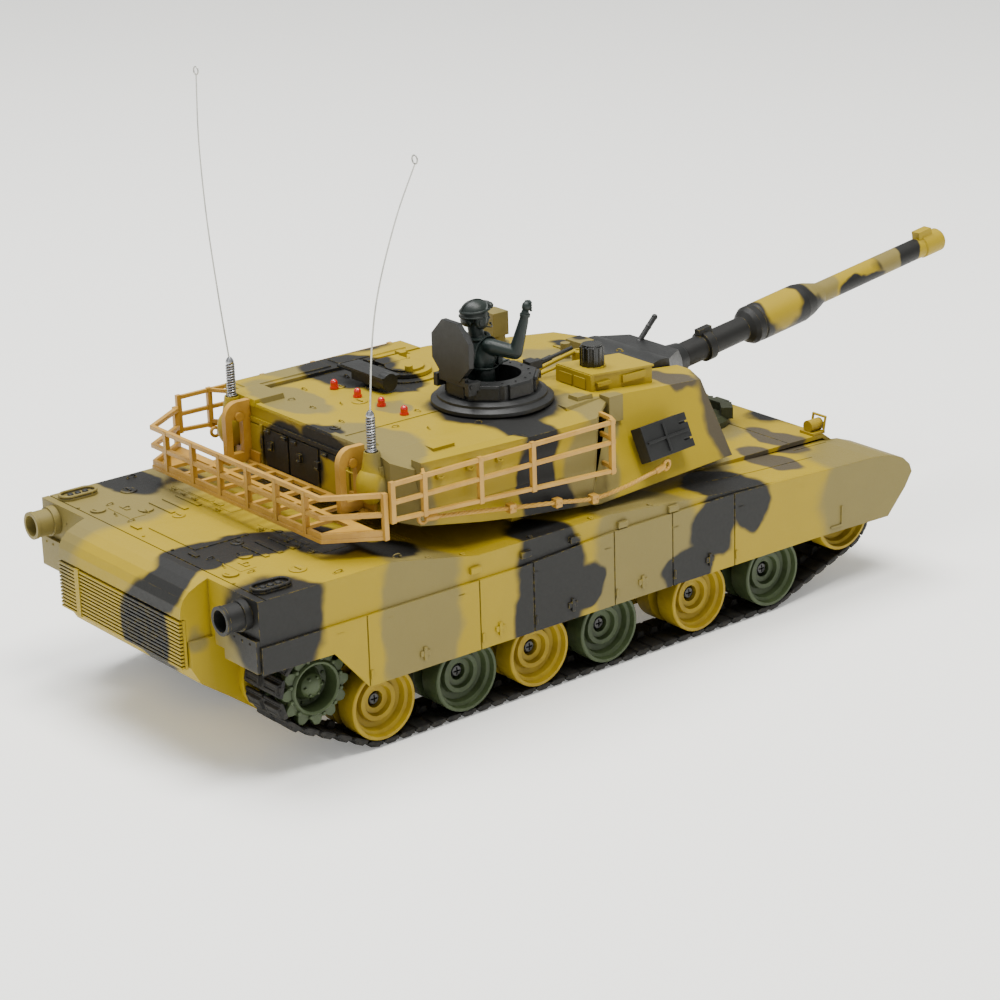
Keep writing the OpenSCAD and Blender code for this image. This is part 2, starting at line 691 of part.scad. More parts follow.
// Cross-section: near-vertical walls, bevel and flat roof
function turret_section(t) = [
  [-68 + t, 60], [-67 + t, 74], [-62.4 + t, 100.4 - t / 3], [-47, roof_z - t], [47, roof_z - t],
  [62.4 - t, 100.4 - t / 3], [67 - t, 74], [68 - t, 60]
];
// Plan of the rear part, with chamfered bustle corners
function turret_rear_plan(t) = [
  [-49, -22], [-69, 6], [-69, 40], [-64 + t, 84 - t], [-50 + t, 93], [50 - t, 93], [64 - t, 84 - t],
  [69, 40], [69, 6], [49, -22]
];

module turret_rear(t) {
  intersection() {
    side_plate(turret_side(t), -80, 80);
    cross_bar(turret_section(t), -100, 100);
    plan_plate(turret_rear_plan(t), 50, 120);
  }
}

// The cheeks and the wedge-shaped nose lean inwards at these angles, and are turned in plan
cheek_lean = 24.2;
cheek_turn = 6.8;
nose_lean = 19;
nose_turn = 63.8;
cheek_corner = [59.5, -76.5];
// Gap left where a fitting sits on the turret's skin
hair = 0.03;

// Half-space behind a leaning face of the turret's front
module leaning_face(s, t, turn, lean) {
  translate([s * (cheek_corner.x - t), cheek_corner.y + t, turret_floor_z]) rotate([0, 0, -s * turn])
    rotate([0, -s * lean, 0]) translate([s * -100, 0, 0]) cube([200, 400, 200], center = true);
}

module turret_front(t) {
  intersection() {
    side_plate(turret_side(t), -80, 80);
    block(t - 68.5, 68.5 - t, -120, 4, 50, 120);
    leaning_face(1, t, cheek_turn, cheek_lean);
    leaning_face(-1, t, cheek_turn, cheek_lean);
    leaning_face(1, t, nose_turn, nose_lean);
    leaning_face(-1, t, nose_turn, nose_lean);
  }
}

module turret_body(t) {
  turret_rear(t);
  turret_front(t);
}

module turret_shell() {
  color(SAND) difference() {
    union() {
      difference() {
        turret_body(0);
        turret_body(wall);
      }
      both_sides() side_plate([[-90, turret_floor_z], [-81.4, 92], [slot_back_y + wall, 92],
                               [slot_back_y + wall, turret_floor_z]], slot_half - 0.2,
                                   slot_half + wall + 1);
      block(-slot_half - 2, slot_half + 2, slot_back_y, slot_back_y + wall, turret_floor_z, 100);
      pin_z(cupola_x, cupola_y, roof_z - 4, roof_z + 0.4, 22);
      pin_z(loader_x, loader_y, roof_z - 3, roof_z + 0.8, 15);
      turret_boxes();
    }
    block(-slot_half, slot_half, -120, slot_back_y, 60, 120);
    pin_x(-slot_half - 10, slot_half + 10, trunnion_y, trunnion_z, 2.56);
    pin_z(cupola_x, cupola_y, roof_z - 8, roof_z + 4, 14.05);
    pin_z(loader_x, loader_y, roof_z - 8, roof_z + 4, 9);
    for (x = led_x) pin_z(x, led_y, roof_z - 4, roof_z + 4, 1.5);
    pin_z(gun_post.x, gun_post.y, roof_z - 8, roof_z + 8, 1.15);
    translate([loader_x + 13, loader_y - 12, loader_pin_z]) rotate([-90, 0, 0]) cylinder(r = 1.06, h = 24);
    both_sides() block(-1, 1, bustle_y - 0.5, bustle_y + 1, bustle_z + 3, roof_z - 7);
    for (x = [-56, -29, 29, 54]) block(x - 0.4, x + 0.4, bustle_y - 0.5, bustle_y + 1, 60, 98);
  }
}

// Stowage boxes, lids and antenna bases moulded into the shell
module turret_boxes() {
  side_plate([[84, 84], [84, 103.6], [33, 102], [33, 84]], -66, -60);
  side_plate([[84, 84], [84, 105], [-3, 104.6], [-3, 84]], 50, 63.6);
  block(34, 50, 78, 90, roof_z - 1, roof_z + 1.6);
  both_sides() {
    translate([46.6, 92, 92]) sphere(r = 6.4, $fn = 40);
    translate([46.6, 92, 96]) cylinder(r1 = 4.6, r2 = 3, h = 9.4);
    block(42, 51, 86, 92, 88, 100);
  }
  block(-22, 22, 34, 90, roof_z - 1, roof_z + 0.3);
  pin_z(gun_post.x, gun_post.y, roof_z - 5, roof_z + 0.8, 3);
  for (s = [-1, 1]) block(loader_x + 11, loader_x + 15.4, loader_y + s * 8 - 1.4, loader_y + s * 8 + 1.4,
                          roof_z - 1, loader_pin_z + 1.9);
  pin_z(8, -46, roof_z - 6, roof_z + 2.6, 2);
  block(-56, -50, -22, -15, 94, 104.6);
  for (s = [-1, 1]) block(s * 52 - 3, s * 52 + 3, 60, 70, 95, roof_z - 0.6);
}

led_x = [29.4, 13.6, -2.2, -17];
led_y = 55;

module turret_base() {
  color(OCHRE) {
    difference() {
      plan_plate([[-64, 0], [-56, -73], [-slot_half - 3, -73], [-slot_half - 3, slot_back_y + 4],
                  [slot_half + 3, slot_back_y + 4], [slot_half + 3, -73], [56, -73], [64, 0]],
                 turret_floor_z + 0.2, turret_floor_z + 2);
      pin_z(0, ring_y, 60, 80, 34);
    }
    difference() {
      union() {
        pin_z(0, ring_y, 57.4, turret_floor_z + 2, ring_r);
        pin_z(0, ring_y, 57.4, 59.2, ring_r + 2.6);
        block(-60, 60, -2, 38, turret_floor_z + 0.2, turret_floor_z + 2);
      }
      pin_z(0, ring_y, 50, 80, 36);
    }
  }
}

// Post of the bustle rack between two heights
module rack_post(x, y, z0, z1) {
  block(x - 1, x + 1, y - 1, y + 1, z0, z1);
}

rack_y = 123;
rack_half = 56.8;
rack_end_y = 104;
rack_end_x = 70;
rack_z = [82, 89.6, 97];

module bustle_rack() {
  color(TAN) {
    for (z = [rack_z[1], rack_z[2]]) rack_band(z - 0.85, z + 0.85, 0.85);
    difference() {
      plan_plate([[-rack_end_x - 1, rack_end_y - 1], [-rack_half - 0.6, rack_y + 1],
          [rack_half + 0.6, rack_y + 1],
                  [rack_end_x + 1, rack_end_y - 1], [46, rack_end_y - 1], [46, 91], [-46, 91],
                  [-46, rack_end_y - 1]], rack_z[0] - 2, rack_z[0] - 0.6);
      for (i = [-4 : 4]) block(i * 11.6 - 4.8, i * 11.6 + 4.8, 107, rack_y - 1.6, 70, 90);
      for (i = [-3 : 3]) block(i * 12.4 - 5, i * 12.4 + 5, 93, 104.6, 70, 90);
    }
    rack_band(rack_z[0] - 2, rack_z[0] + 1.6, 0.6);
    for (x = [-47, -28.2, -9.4, 9.4, 28.2, 47]) rack_post(x, rack_y, rack_z[0] - 1, rack_z[2] + 0.6);
    both_sides() {
      rack_post(rack_end_x, rack_end_y, rack_z[0] - 2, rack_z[2] + 1);
      rack_bracket();
    }
  }
}

// Band that runs round the three outer sides of the rack, t thick each way
module rack_band(z0, z1, t) {
  difference() {
    plan_plate([[-rack_end_x - t, rack_end_y - 0.6], [-rack_half - 0.5, rack_y + t],
        [rack_half + 0.5, rack_y + t],
                [rack_end_x + t, rack_end_y - 0.6]], z0, z1);
    plan_plate([[-rack_end_x + t, rack_end_y - 1.6], [-rack_half + 0.5, rack_y - t],
        [rack_half - 0.5, rack_y - t],
                [rack_end_x - t, rack_end_y - 1.6]], z0 - 1, z1 + 1);
  }
}

// Tall rounded bracket that ties the rack to the bustle
module rack_bracket() {
  difference() {
    union() {
      block(36.6, 39.4, bustle_y + 0.1, bustle_y + 12, rack_z[0] - 1, 100);
      translate([36.6, bustle_y + 6, 100]) rotate([0, 90, 0]) cylinder(r = 6, h = 2.8);
      block(36.6, 39.4, bustle_y + 0.1, bustle_y + 6, 100, 105.9);
    }
    block(36, 40, bustle_y + 4, bustle_y + 9, rack_z[0] + 3, 99);
  }
  block(30, 46, bustle_y + 0.1, bustle_y + 1.6, rack_z[0] - 2, rack_z[0] + 3.4);
  pin_x(35.4, 40.4, bustle_y + 6, 100, 1.8);
}

rail_x = 71.4;
rail_y = [101.5, 87, 61, 36, -3];
rail_top = 101;

// Height of each long rail at its rear and front ends
rail_lines = [[rail_top, rail_top], [94, 93], [87.4, 81.4]];

module side_rails() {
  half = 0.75;
  y0 = rail_y[4] - 1;
  color(TAN) difference() {
    both_sides() {
      for (z = rail_lines) {
        side_plate([[y0, z[1] - half], [rail_y[0], z[0] - half], [rail_y[0], z[0] + half],
            [y0, z[1] + half]],
                   rail_x - half, rail_x + half);
        plan_plate([[rail_x + half, y0 + 1], [rail_x + half, y0 - 0.4], [rail_x - 4, y0 - 2.6],
            [60, y0 - 3.6],
                    [60, y0 - 2.1], [rail_x - 4.2, y0 - 1.1],
                        [rail_x - half, y0 + 0.6]], z[1] - half, z[1] + half);
      }
      for (i = [0 : 4]) {
        low = 87.4 - 6 * (rail_y[0] - rail_y[i]) / (rail_y[0] - rail_y[4]);
        block(rail_x - 0.9, rail_x + 0.9, rail_y[i] - 1, rail_y[i] + 1, low - 1.2, rail_top + 1.1);
      }
      for (z = [rail_top, 88])
        plan_plate([[rail_x, rail_y[1] - 0.7], [rail_x, rail_y[1] + 0.7], [62, rail_y[1] - 5.6],
            [62, rail_y[1] - 7]],
                   z - half, z + half);
    }
    turret_body(-hair);
    block(-66 - hair, 0, 33 - hair, 84 + hair, 84 - hair, 103.7);
    block(0, 63.6 + hair, -3 - hair, 84 + hair, 84 - hair, 105);
  }
}

cable_r = 0.9;
cable_route = [
  [69.2, 82, 83.2], [69.6, 66, 81], [70, 46, 78], [70.4, 24, 74.8], [70.4, 6, 72], [69.6, -10, 72.4],
  [68.8, -22, 73.8], [67.8, -30, 74.6]
];

module tow_cables() {
  color(TAN) both_sides() {
    bar_path(cable_route, cable_r);
    for (p = [cable_route[0] + [0, 2.9, 0.4], cable_route[7] + [-0.2, -2.9, 0.2]])
      translate(p) rotate([0, 90, 0]) rotate_extrude() translate([1.8, 0]) circle(r = 0.8, $fn = 24);
    bar(cable_route[0], cable_route[0] - [-0.3, 5, 0.7], 1.4);
    bar(cable_route[7], cable_route[7] - [-0.5, -4, 0.4], 1.4);
    for (i = [2, 3, 4]) translate(cable_route[i]) cube([3, 3, 3.4], center = true);
  }
}

module smoke_launchers() {
  color(DARK) both_sides() difference() {
    translate([61.2, -36, 84]) rotate([0, 0, -cheek_turn]) rotate([0, -cheek_lean, 0]) difference() {
      union() {
        block(-1.6, 4, -14, 12, -7, 7);
        block(4, 4.7, -12.6, 10.6, -0.5, 0.5);
        block(4, 4.7, -0.5, 0.5, -5.6, 5.6);
      }
      for (y = [-1 : 1], z = [0, 1]) translate([1.4, -14.1, -3.4 + 6.8 * z]) rotate([-90, 0, 0])
        translate([y * 1.9, 0, 0]) cylinder(r = 0.8, h = 5);
    }
    turret_body(-hair);
  }
}

whip_left = [[46.6, 92, 122.2], [50.2, 93, 146], [51.8, 95, 177], [52.2, 96, 207], [51, 96, 232.5]];
whip_right = [[-46.6, 92, 122.2], [-51.4, 93, 148], [-60, 95, 171], [-73.6, 96, 199], [-86, 96, 220.5]];

module antennas() {
  color(STEEL) {
    antenna(whip_left);
    antenna(whip_right);
  }
}

// Coiled base spring, whip and the loop on its tip
// (radius, height) outline of the coil spring at the foot of a whip
coil_pitch = 1.3;
spring_outline = concat(
  [[0, 0], [1.1, 0]],
  [for (i = [0 : 9], c = [[1.1, 0.1], [1.95, 0.3], [1.95, 0.9],
      [1.1, 1.1]]) [c[0], (i + 0.2) * coil_pitch + c[1]]],
  [[1.1, 13.6], [1.7, 13.7], [1.7, 15.1], [0.8, 15.6], [0.8, 18], [0, 18]]);

module antenna(whip) {
  translate([sign(whip[0].x) * 46.6, 92, 105.5]) rotate_extrude() polygon(spring_outline);
  bar_path(whip, 0.45);
  translate(whip[4] + [0, 0, 1.6]) rotate([90, 0, 0]) rotate_extrude() translate([1.6, 0])
      circle(r = 0.4, $fn = 16);
}

module led_lamps() {
  color(RED) for (x = led_x) {
    pin_z(x, led_y, roof_z - 3, roof_z + 2.6, 1.45);
    translate([x, led_y, roof_z + 2.6]) sphere(r = 1.45, $fn = 32);
    pin_z(x, led_y, roof_z + 0.35, roof_z + 1.1, 1.8);
  }
}

sight_x0 = -41.2;
sight_x1 = -21;
sight_y0 = -50;
sight_y1 = -18.6;

module sight_box() {
  color(KHAKI) {
    difference() {
      side_plate([[sight_y0, 98], [sight_y0, 106.6], [sight_y1, 109.2],
          [sight_y1, roof_z - 1]], sight_x0, sight_x1);
      turret_body(-hair);
    }
    pin_z(ir_x, ir_y, 108, 109.6, 5.4);
    side_plate([[sight_y0 - 0.6, 106.6], [sight_y0 - 0.6, 107.4], [sight_y1 + 0.6, 110],
        [sight_y1 + 0.6, 109.2]],
               sight_x0 - 0.6, sight_x1 + 0.6);
    block(sight_x0 - 1.6, sight_x0 + 0.1, sight_y1 - 9, sight_y1 - 2, 104.4, 106);
  }
}

ir_x = -30.5;
ir_y = -28;

module ir_receiver() {
  color(BLACK) {
    pin_z(ir_x, ir_y, 109.65, 117.6, 4.6);
    pin_z(ir_x, ir_y, 117.6, 118.3, 4.1);
    for (a = [0 : 30 : 359]) translate([ir_x, ir_y, 109.7]) rotate([0, 0, a]) translate([4.5, 0, 0])
      cylinder(r = 0.5, h = 7.6, $fn = 16);
  }
}

module thermal_viewer() {
  color(TAN) difference() {
    translate([33, -29, 100]) {
      cylinder(r = 6, h = 5);
      cylinder(r = 4.4, h = 9);
      difference() {
        block(-4.4, 4.4, -4, 4, 8.6, 18.6);
        block(-3, 3, -5, -2.6, 10, 17);
      }
    }
    turret_body(-hair);
  }
}

// ---------------------------------------------------------------- gun

// Everything that tips with the gun, drawn level and tipped to its rest angle
module tipped() {
  translate([0, trunnion_y, trunnion_z]) rotate([-gun_rest, 0, 0]) children();
}

// Outline turned about the bore, as (radius, distance ahead of the trunnion)
module bored(outline) {
  rotate([90, 0, 0]) rotate_extrude() polygon(outline);
}

mantlet_half = 22.6;

module mantlet() {
  color(DARK) tipped() difference() {
    union() {
      rotate([0, 90, 0]) translate([0, 0, -mantlet_half]) cylinder(r = 14.6, h = 2 * mantlet_half);
      side_plate([[0, -12], [0, 14.2], [-17, 11.6], [-20, 6], [-20, -6],
          [-15, -11]], -mantlet_half, mantlet_half);
      bored([[0, 17], [7.4, 17], [7.4, 22], [6.2, 30], [0, 30]]);
      bar_path([[6, -14, 11.4], [6, -20, 16], [6, -24, 19]], 1.2);
      rotate([0, 90, 0]) translate([0, 0, -mantlet_half - 5]) cylinder(r = 2.5, h = 2 * mantlet_half + 10);
    }
    both_sides() plan_plate([[mantlet_half + 1, -4], [12, -22], [mantlet_half + 1, -40]], -20, 20);
    rotate([90, 0, 0]) cylinder(r = 4.6, h = 60);
  }
}

module gun_barrel() {
  evac = 70;
  color(DARK) tipped() difference() {
    union() {
      bored([[0, 6], [4.55, 6], [4.55, 30], [5.4, 30.1], [5.4, 42], [6.6, 42.6], [6.6, 46.4], [5.3, 47],
             [5.2, evac - 4], [7.2, evac - 2], [8.3, evac], [8.3, evac + 3], [8, evac + 3.6],
             [8.4, evac + 4.4], [8.4, evac + 29], [7.4, evac + 34], [5, evac + 41], [4.7, evac + 42],
             [4.6, gun_length - 12], [5.2, gun_length - 11.6], [5.2, gun_length - 1], [4.4, gun_length],
             [0, gun_length]]);
      block(-2.2, 2.2, -gun_length + 6, -gun_length + 14, 4, 7.6);
      block(-1.6, 1.6, -48, -41, 5, 8.2);
    }
    rotate([90, 0, 0]) translate([0, 0, 80]) cylinder(r = 2.5, h = 120);
  }
}

// ---------------------------------------------------------------- cupola

cupola_base_z = roof_z + 0.7;
// Floor inside the cupola that the figure stands on
seat_z = roof_z - 4.8;
vision_z0 = cupola_base_z + 4.6;
vision_z1 = cupola_base_z + 10.6;
hatch_y = cupola_y + 18.4;
hatch_z = vision_z1 + 0.6;

module at_cupola() {
  translate([cupola_x, cupola_y, 0]) children();
}

module cupola() {
  color(DARK) difference() {
    union() {
      at_cupola() rotate_extrude() polygon([
        [0, cupola_base_z], [24, cupola_base_z], [24, cupola_base_z + 1.4], [21.6, cupola_base_z + 2.6],
        [21.6, cupola_base_z + 3.6], [19.4, cupola_base_z + 4.6], [0, cupola_base_z + 4.6]]);
      translate([cupola_x, cupola_y, vision_z0 - 0.1]) rotate([0, 0, 22.5])
          cylinder(r = 18.2, h = 6.1, $fn = 8);
      at_cupola() translate([0, 0, roof_z - 6.4]) cylinder(r = 14, h = 8);
      at_cupola() translate([0, 0, roof_z - 6.4]) cylinder(r = 15.4, h = 1.6);
      both_sides_of(cupola_x) block(cupola_x + 8.6, cupola_x + 11, hatch_y - 4.6, hatch_y + 1.5,
                                    vision_z1 - 3, hatch_z + 1.5);
      block(cupola_x - 2, cupola_x + 2, cupola_y - 23, cupola_y - 16, vision_z0 - 0.5, vision_z0 + 2.4);
    }
    at_cupola() translate([0, 0, seat_z]) cylinder(r = 11.6, h = 40);
    for (a = [0 : 45 : 359]) translate([cupola_x, cupola_y, vision_z0]) rotate([0, 0, a])
      block(-4.6, 4.6, -19, -16, 1.2, 4.6);
    pin_x(cupola_x - 12, cupola_x + 12, hatch_y, hatch_z, 0.86);
    translate([cupola_x, cupola_y - 20.6, vision_z0 - 3]) cylinder(r = 1.05, h = 8);
  }
}

// Mirror about a plane of constant X
module both_sides_of(x) {
  children();
  translate([2 * x, 0, 0]) mirror([1, 0, 0]) children();
}

lid_r = 12.6;

module cupola_hatch() {
  color(DARK) translate([cupola_x, hatch_y, hatch_z]) {
    translate([0, -0.9, lid_r - 0.2]) rotate([-90, 0, 0]) rotate([0, 0, 22.5])
        cylinder(r = lid_r, h = 2.2, $fn = 8);
    translate([0, -0.8, lid_r - 0.2]) rotate([90, 0, 0]) difference() {
      cylinder(r = 8.6, h = 3);
      translate([0, 0, -0.1]) cylinder(r = 6.2, h = 4);
    }
    rotate([0, 90, 0]) translate([0, 0, -11.4]) cylinder(r = 0.8, h = 22.8);
    block(-8.2, 8.2, -0.7, 1, -0.6, 3);
  }
}

helmet = [-20.4, 21.6, 139.2];
seat = [-22, 21.6];

module commander() {
  color(GREEN) {
    translate([seat.x, seat.y, seat_z]) cylinder(r = 6.4, h = 15.4);
    translate([seat.x, seat.y, 114]) cylinder(r1 = 6.6, r2 = 7.6, h = 12);
    translate([seat.x, seat.y, 126]) sphere(r = 7.4);
    translate([-20.8, seat.y, 128]) cylinder(r = 3, h = 6);
    translate(helmet) sphere(r = 5.9);
    translate(helmet + [0, -1, -4]) cylinder(r = 4.6, h = 4);
    bar_path([[-28.4, 21, 127.6], [-35.6, 14, 125.2], [-37.4, 11.6, 138], [-38, 10.8, 143.4]], 2.3);
    translate([-38.2, 10.6, 145]) sphere(r = 2.5);
    bar_path([[-15.4, 21, 127.4], [-14.4, 16.4, 120.2], [-17.4, 12, 118.2]], 2.3);
  }
}

module commander_gun() {
  gun_y = cupola_y - 20.6;
  color(DARK) translate([cupola_x, gun_y, 0]) {
    translate([0, 0, vision_z0 - 2.6]) cylinder(r = 1, h = 7);
    block(-1.6, 1.6, -3.6, 2.8, vision_z0 + 3.2, vision_z0 + 6.6);
    translate([0, -3, vision_z0 + 5]) rotate([81, 0, 0]) cylinder(r = 0.75, h = 17);
    translate([0, -3, vision_z0 + 5]) rotate([81, 0, 0]) cylinder(r = 1.15, h = 6);
    block(1.5, 5.4, -3.2, 0.8, vision_z0 + 2.7, vision_z0 + 6);
  }
}

// ---------------------------------------------------------------- loader's station

loader_pin_z = roof_z + 2.7;
gun_post = [20, 43];

module loader_hatch() {
  color(KHAKI) {
    pin_z(loader_x, loader_y, roof_z + 1.1, roof_z + 2.6, 11);
    pin_z(loader_x, loader_y, roof_z + 2.6, roof_z + 3.6, 8);
    pin_z(loader_x - 7, loader_y + 3, roof_z + 2.6, roof_z + 5.4, 1.6);
    block(loader_x + 6, loader_x + 13, loader_y - 6, loader_y + 6, roof_z + 1.7, loader_pin_z + 1);
    translate([loader_x + 13, loader_y - 9.8, loader_pin_z]) rotate([-90, 0, 0]) cylinder(r = 1, h = 19.6);
  }
}

module loader_gun() {
  color(DARK) translate([gun_post.x, gun_post.y, roof_z]) {
    translate([0, 0, -5.4]) cylinder(r = 1.1, h = 8);
    translate([0, 0, -6.6]) cylinder(r = 2, h = 1.4);
    block(-9, 10, -3, 3, 2.2, 6.2);
    block(-12, 16, -5, 4, 6.2, 7.2);
    block(3, 11, -5, -3, 1.2, 6.4);
    pin_x(-12, -7.6, 0, 4.8, 3.6);
    pin_x(9, 23, 0, 4.2, 0.8);
  }
}

// ---------------------------------------------------------------- assembly

lower_hull();
upper_hull();
rear_louvre();
tail_pipes();
rear_mudflaps();
side_skirts();
driver_hatch();
headlights();
tail_lights();
battery_pack();
battery_door();
circuit_board();
gearboxes();
drive_motors();
speaker();
power_switch();
wheel_axles();
wheel_screws();
final_drive_covers();
track_left();
track_right();
wheel_left_1();
wheel_left_2();
wheel_left_3();
wheel_left_4();
wheel_left_5();
wheel_left_6();
wheel_right_1();
wheel_right_2();
wheel_right_3();
wheel_right_4();
wheel_right_5();
wheel_right_6();
sprocket_left();
sprocket_right();
idler_left();
idler_right();
drive_gear_left();
drive_gear_right();
motor_pinion_left();
motor_pinion_right();
turret_shell();
turret_base();
bustle_rack();
side_rails();
tow_cables();
smoke_launchers();
antennas();
led_lamps();
sight_box();
ir_receiver();
thermal_viewer();
loader_hatch();
loader_gun();
mantlet();
gun_barrel();
cupola();
commander();
cupola_hatch();
commander_gun();
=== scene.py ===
import math

import bmesh
import bpy
from mathutils import Matrix, Quaternion, Vector


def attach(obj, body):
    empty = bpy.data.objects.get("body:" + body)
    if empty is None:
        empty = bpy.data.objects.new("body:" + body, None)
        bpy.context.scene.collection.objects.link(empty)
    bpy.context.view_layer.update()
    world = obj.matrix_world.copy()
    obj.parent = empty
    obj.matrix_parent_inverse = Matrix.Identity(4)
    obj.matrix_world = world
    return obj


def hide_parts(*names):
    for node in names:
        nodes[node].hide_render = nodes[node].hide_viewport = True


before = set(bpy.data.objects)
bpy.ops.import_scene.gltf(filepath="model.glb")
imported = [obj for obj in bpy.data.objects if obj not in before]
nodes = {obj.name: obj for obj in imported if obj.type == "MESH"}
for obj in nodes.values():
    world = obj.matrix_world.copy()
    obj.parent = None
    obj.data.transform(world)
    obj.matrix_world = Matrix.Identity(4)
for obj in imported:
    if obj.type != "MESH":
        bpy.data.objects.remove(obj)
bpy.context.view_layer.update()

MM = 0.001
scene = bpy.context.scene


# ---------------------------------------------------------------- node helpers

class Graph:
    """Short calls for building a node tree. Numbers go in as values, sockets as links."""

    def __init__(self, tree):
        self.tree = tree

    def add(self, kind, inputs=None, **props):
        n = self.tree.nodes.new(kind)
        for k, v in props.items():
            setattr(n, k, v)
        for k, v in (inputs or {}).items():
            if isinstance(v, bpy.types.NodeSocket):
                self.tree.links.new(v, n.inputs[k])
            else:
                n.inputs[k].default_value = v
        return n

    def math(self, op, a, b=0.0):
        return self.add("ShaderNodeMath", {0: a, 1: b}, operation=op).outputs[0]

    def vec(self, op, a, b=(0, 0, 0)):
        return self.add("ShaderNodeVectorMath", {0: a, 1: b}, operation=op).outputs[0]

    def length(self, a):
        return self.add("ShaderNodeVectorMath", {0: a}, operation="LENGTH").outputs["Value"]

    def mix(self, fac, a, b, blend="MIX"):
        n = self.add("ShaderNodeMix", {0: fac, 6: a, 7: b}, data_type="RGBA", blend_type=blend)
        return n.outputs[2]

    def step(self, value, low, high):
        """0 at low, 1 at high, smooth in between."""
        return self.add("ShaderNodeMapRange", {"Value": value, "From Min": low, "From Max": high},
                        interpolation_type="SMOOTHSTEP").outputs[0]

    def noise(self, coords, scale, detail=3.0, rough=0.5, colour=False):
        n = self.add("ShaderNodeTexNoise", {"Vector": coords, "Scale": scale, "Detail": detail,
                                            "Roughness": rough})
        return n.outputs["Color" if colour else "Fac"]

    def place(self):
        """Position in millimetres in the piece's own frame, which is the model's frame at rest."""
        c = self.add("ShaderNodeTexCoord").outputs["Object"]
        return self.vec("MULTIPLY", c, (1000, 1000, 1000))


def blank_material(name):
    """A material with an empty node tree, and the graph that fills it."""
    m = bpy.data.materials.new(name)
    m.use_nodes = True
    m.node_tree.nodes.clear()
    return m, Graph(m.node_tree)


def colour_group(name):
    """A node group with one colour output, and the graph that fills it."""
    tree = bpy.data.node_groups.new(name, "ShaderNodeTree")
    tree.interface.new_socket("Color", in_out="OUTPUT", socket_type="NodeSocketColor")
    return tree, Graph(tree)


def rgb(r, g, b):
    """Linear colour of an 8-bit screen colour."""
    def lin(c):
        c /= 255
        return c / 12.92 if c <= 0.04045 else ((c + 0.055) / 1.055) ** 2.4
    return (lin(r), lin(g), lin(b), 1.0)


OCHRE = rgb(152, 130, 18)
KHAKI = rgb(118, 106, 56)
BLACK = rgb(25, 25, 24)
SMOKE = rgb(72, 65, 50)
CODES = {"o": OCHRE, "k": KHAKI, "g": SMOKE, "b": BLACK}

# Camouflage patches, and two patches of painted shade on the hull's underside: colour code, centre and radii
# in millimetres.
# The codes are painted in the order of CODES, each over the ones before it.
HULL_PATCHES = [
    ("k", (-84, 93, 50), (38, 18, 50)), ("k", (-78, -16, 44), (33, 27, 44)),
    ("k", (-76, -152, 38), (40, 42, 34)), ("k", (64, 150, 66), (40, 50, 34)),
    ("k", (82, 52, 50), (34, 22, 40)), ("k", (80, -44, 46), (34, 24, 30)),
    ("k", (70, -132, 42), (34, 24, 30)), ("k", (6, -108, 58), (32, 17, 12)),
    # the khaki patch at (0, 60, 10) is painted shade on the hull's underside
    ("k", (-64, 170, 52), (22, 8, 10)), ("k", (0, 60, 10), (50, 40, 8)),
    ("k", (-10, -100, 20), (34, 26, 20)), ("g", (-52, -104, 58), (18, 8, 7)),
    ("g", (-36, -122, 56), (20, 8, 8)), ("k", (-30, -82, 60), (24, 8, 6)),
    ("b", (-82, 154, 63), (31, 19, 25)), ("b", (-80, 33, 45), (30, 17, 38)),
    ("b", (-78, 15, 38), (22, 9, 9)), ("b", (-66, -66, 59), (21, 17, 13)),
    ("b", (-78, -52, 47), (20, 13, 14)), ("b", (-78, -38, 32), (20, 13, 10)),
    ("b", (-78, -73, 50), (18, 10, 9)), ("b", (76, 128, 72), (27, 11, 16)),
    ("b", (-22, 154, 73), (13, 17, 16)), ("b", (-26, 132, 73), (13, 18, 14)),
    ("b", (-40, 110, 70), (18, 15, 16)), ("b", (-60, 96, 68), (14, 14, 12)),
    ("b", (-27, 172, 68), (13, 13, 13)), ("b", (-68, 174, 66), (16, 18, 14)),
    ("b", (-18, 177, 48), (16, 12, 22)),
    ("b", (82, 14, 46), (28, 17, 30)), ("b", (80, -88, 44), (26, 14, 30)),
    ("b", (80, 90, 40), (24, 13, 18)), ("b", (-14, -146, 48), (24, 18, 14)),
    # the black patch at (20, 120, 12) is painted shade on the hull's underside
    ("b", (30, -84, 60), (16, 12, 10)), ("b", (20, 120, 12), (26, 30, 8)),
]
TURRET_PATCHES = [
    ("k", (-68, 0, 82), (14, 16, 17)), ("k", (-50, -2, 104), (13, 8, 4)),
    ("k", (32, 76, 104), (27, 11, 8)), ("k", (-34, 82, 103), (27, 14, 13)),
    ("k", (-62, 88, 88), (12, 12, 18)), ("k", (2, -44, 103), (26, 18, 8)),
    ("k", (62, 60, 94), (16, 18, 16)), ("k", (62, -44, 84), (22, 22, 20)),
    ("k", (-6, 52, 104), (9, 7, 3)),
    ("b", (-30, 20, 104), (27, 27, 11)), ("b", (-58, 27, 98), (18, 12, 12)),
    ("b", (-66, 30, 86), (14, 10, 16)), ("b", (-66, 24, 73), (14, 15, 9)),
    ("g", (-52, -85, 84), (21, 19, 34)), ("g", (-40, -62, 101), (15, 9, 8)),
    ("b", (44, 38, 104), (23, 18, 8)),
    ("b", (18, 34, 104), (14, 12, 6)), ("b", (8, 92, 89), (23, 12, 13)),
    ("b", (-14, 90, 101), (14, 8, 6)), ("b", (66, 12, 88), (14, 18, 22)),
    ("b", (60, -84, 84), (24, 16, 26)), ("b", (20, -66, 101), (14, 12, 6)),
    ("k", (-60, -12, 100), (12, 14, 12)),
]
GUN_PATCHES = [
    ("o", (0, -156, 102), (12, 12, 12)), ("o", (0, -196, 106), (12, 22, 14)),
    ("o", (0, -246, 112), (12, 18, 14)),
    ("k", (0, -182, 104), (12, 9, 12)), ("k", (0, -226, 110), (12, 10, 12)),
    ("b", (0, -172, 99), (12, 12, 5)), ("b", (-3, -205, 104), (8, 14, 4)),
    ("b", (0, -236, 110), (12, 6, 12)),
]


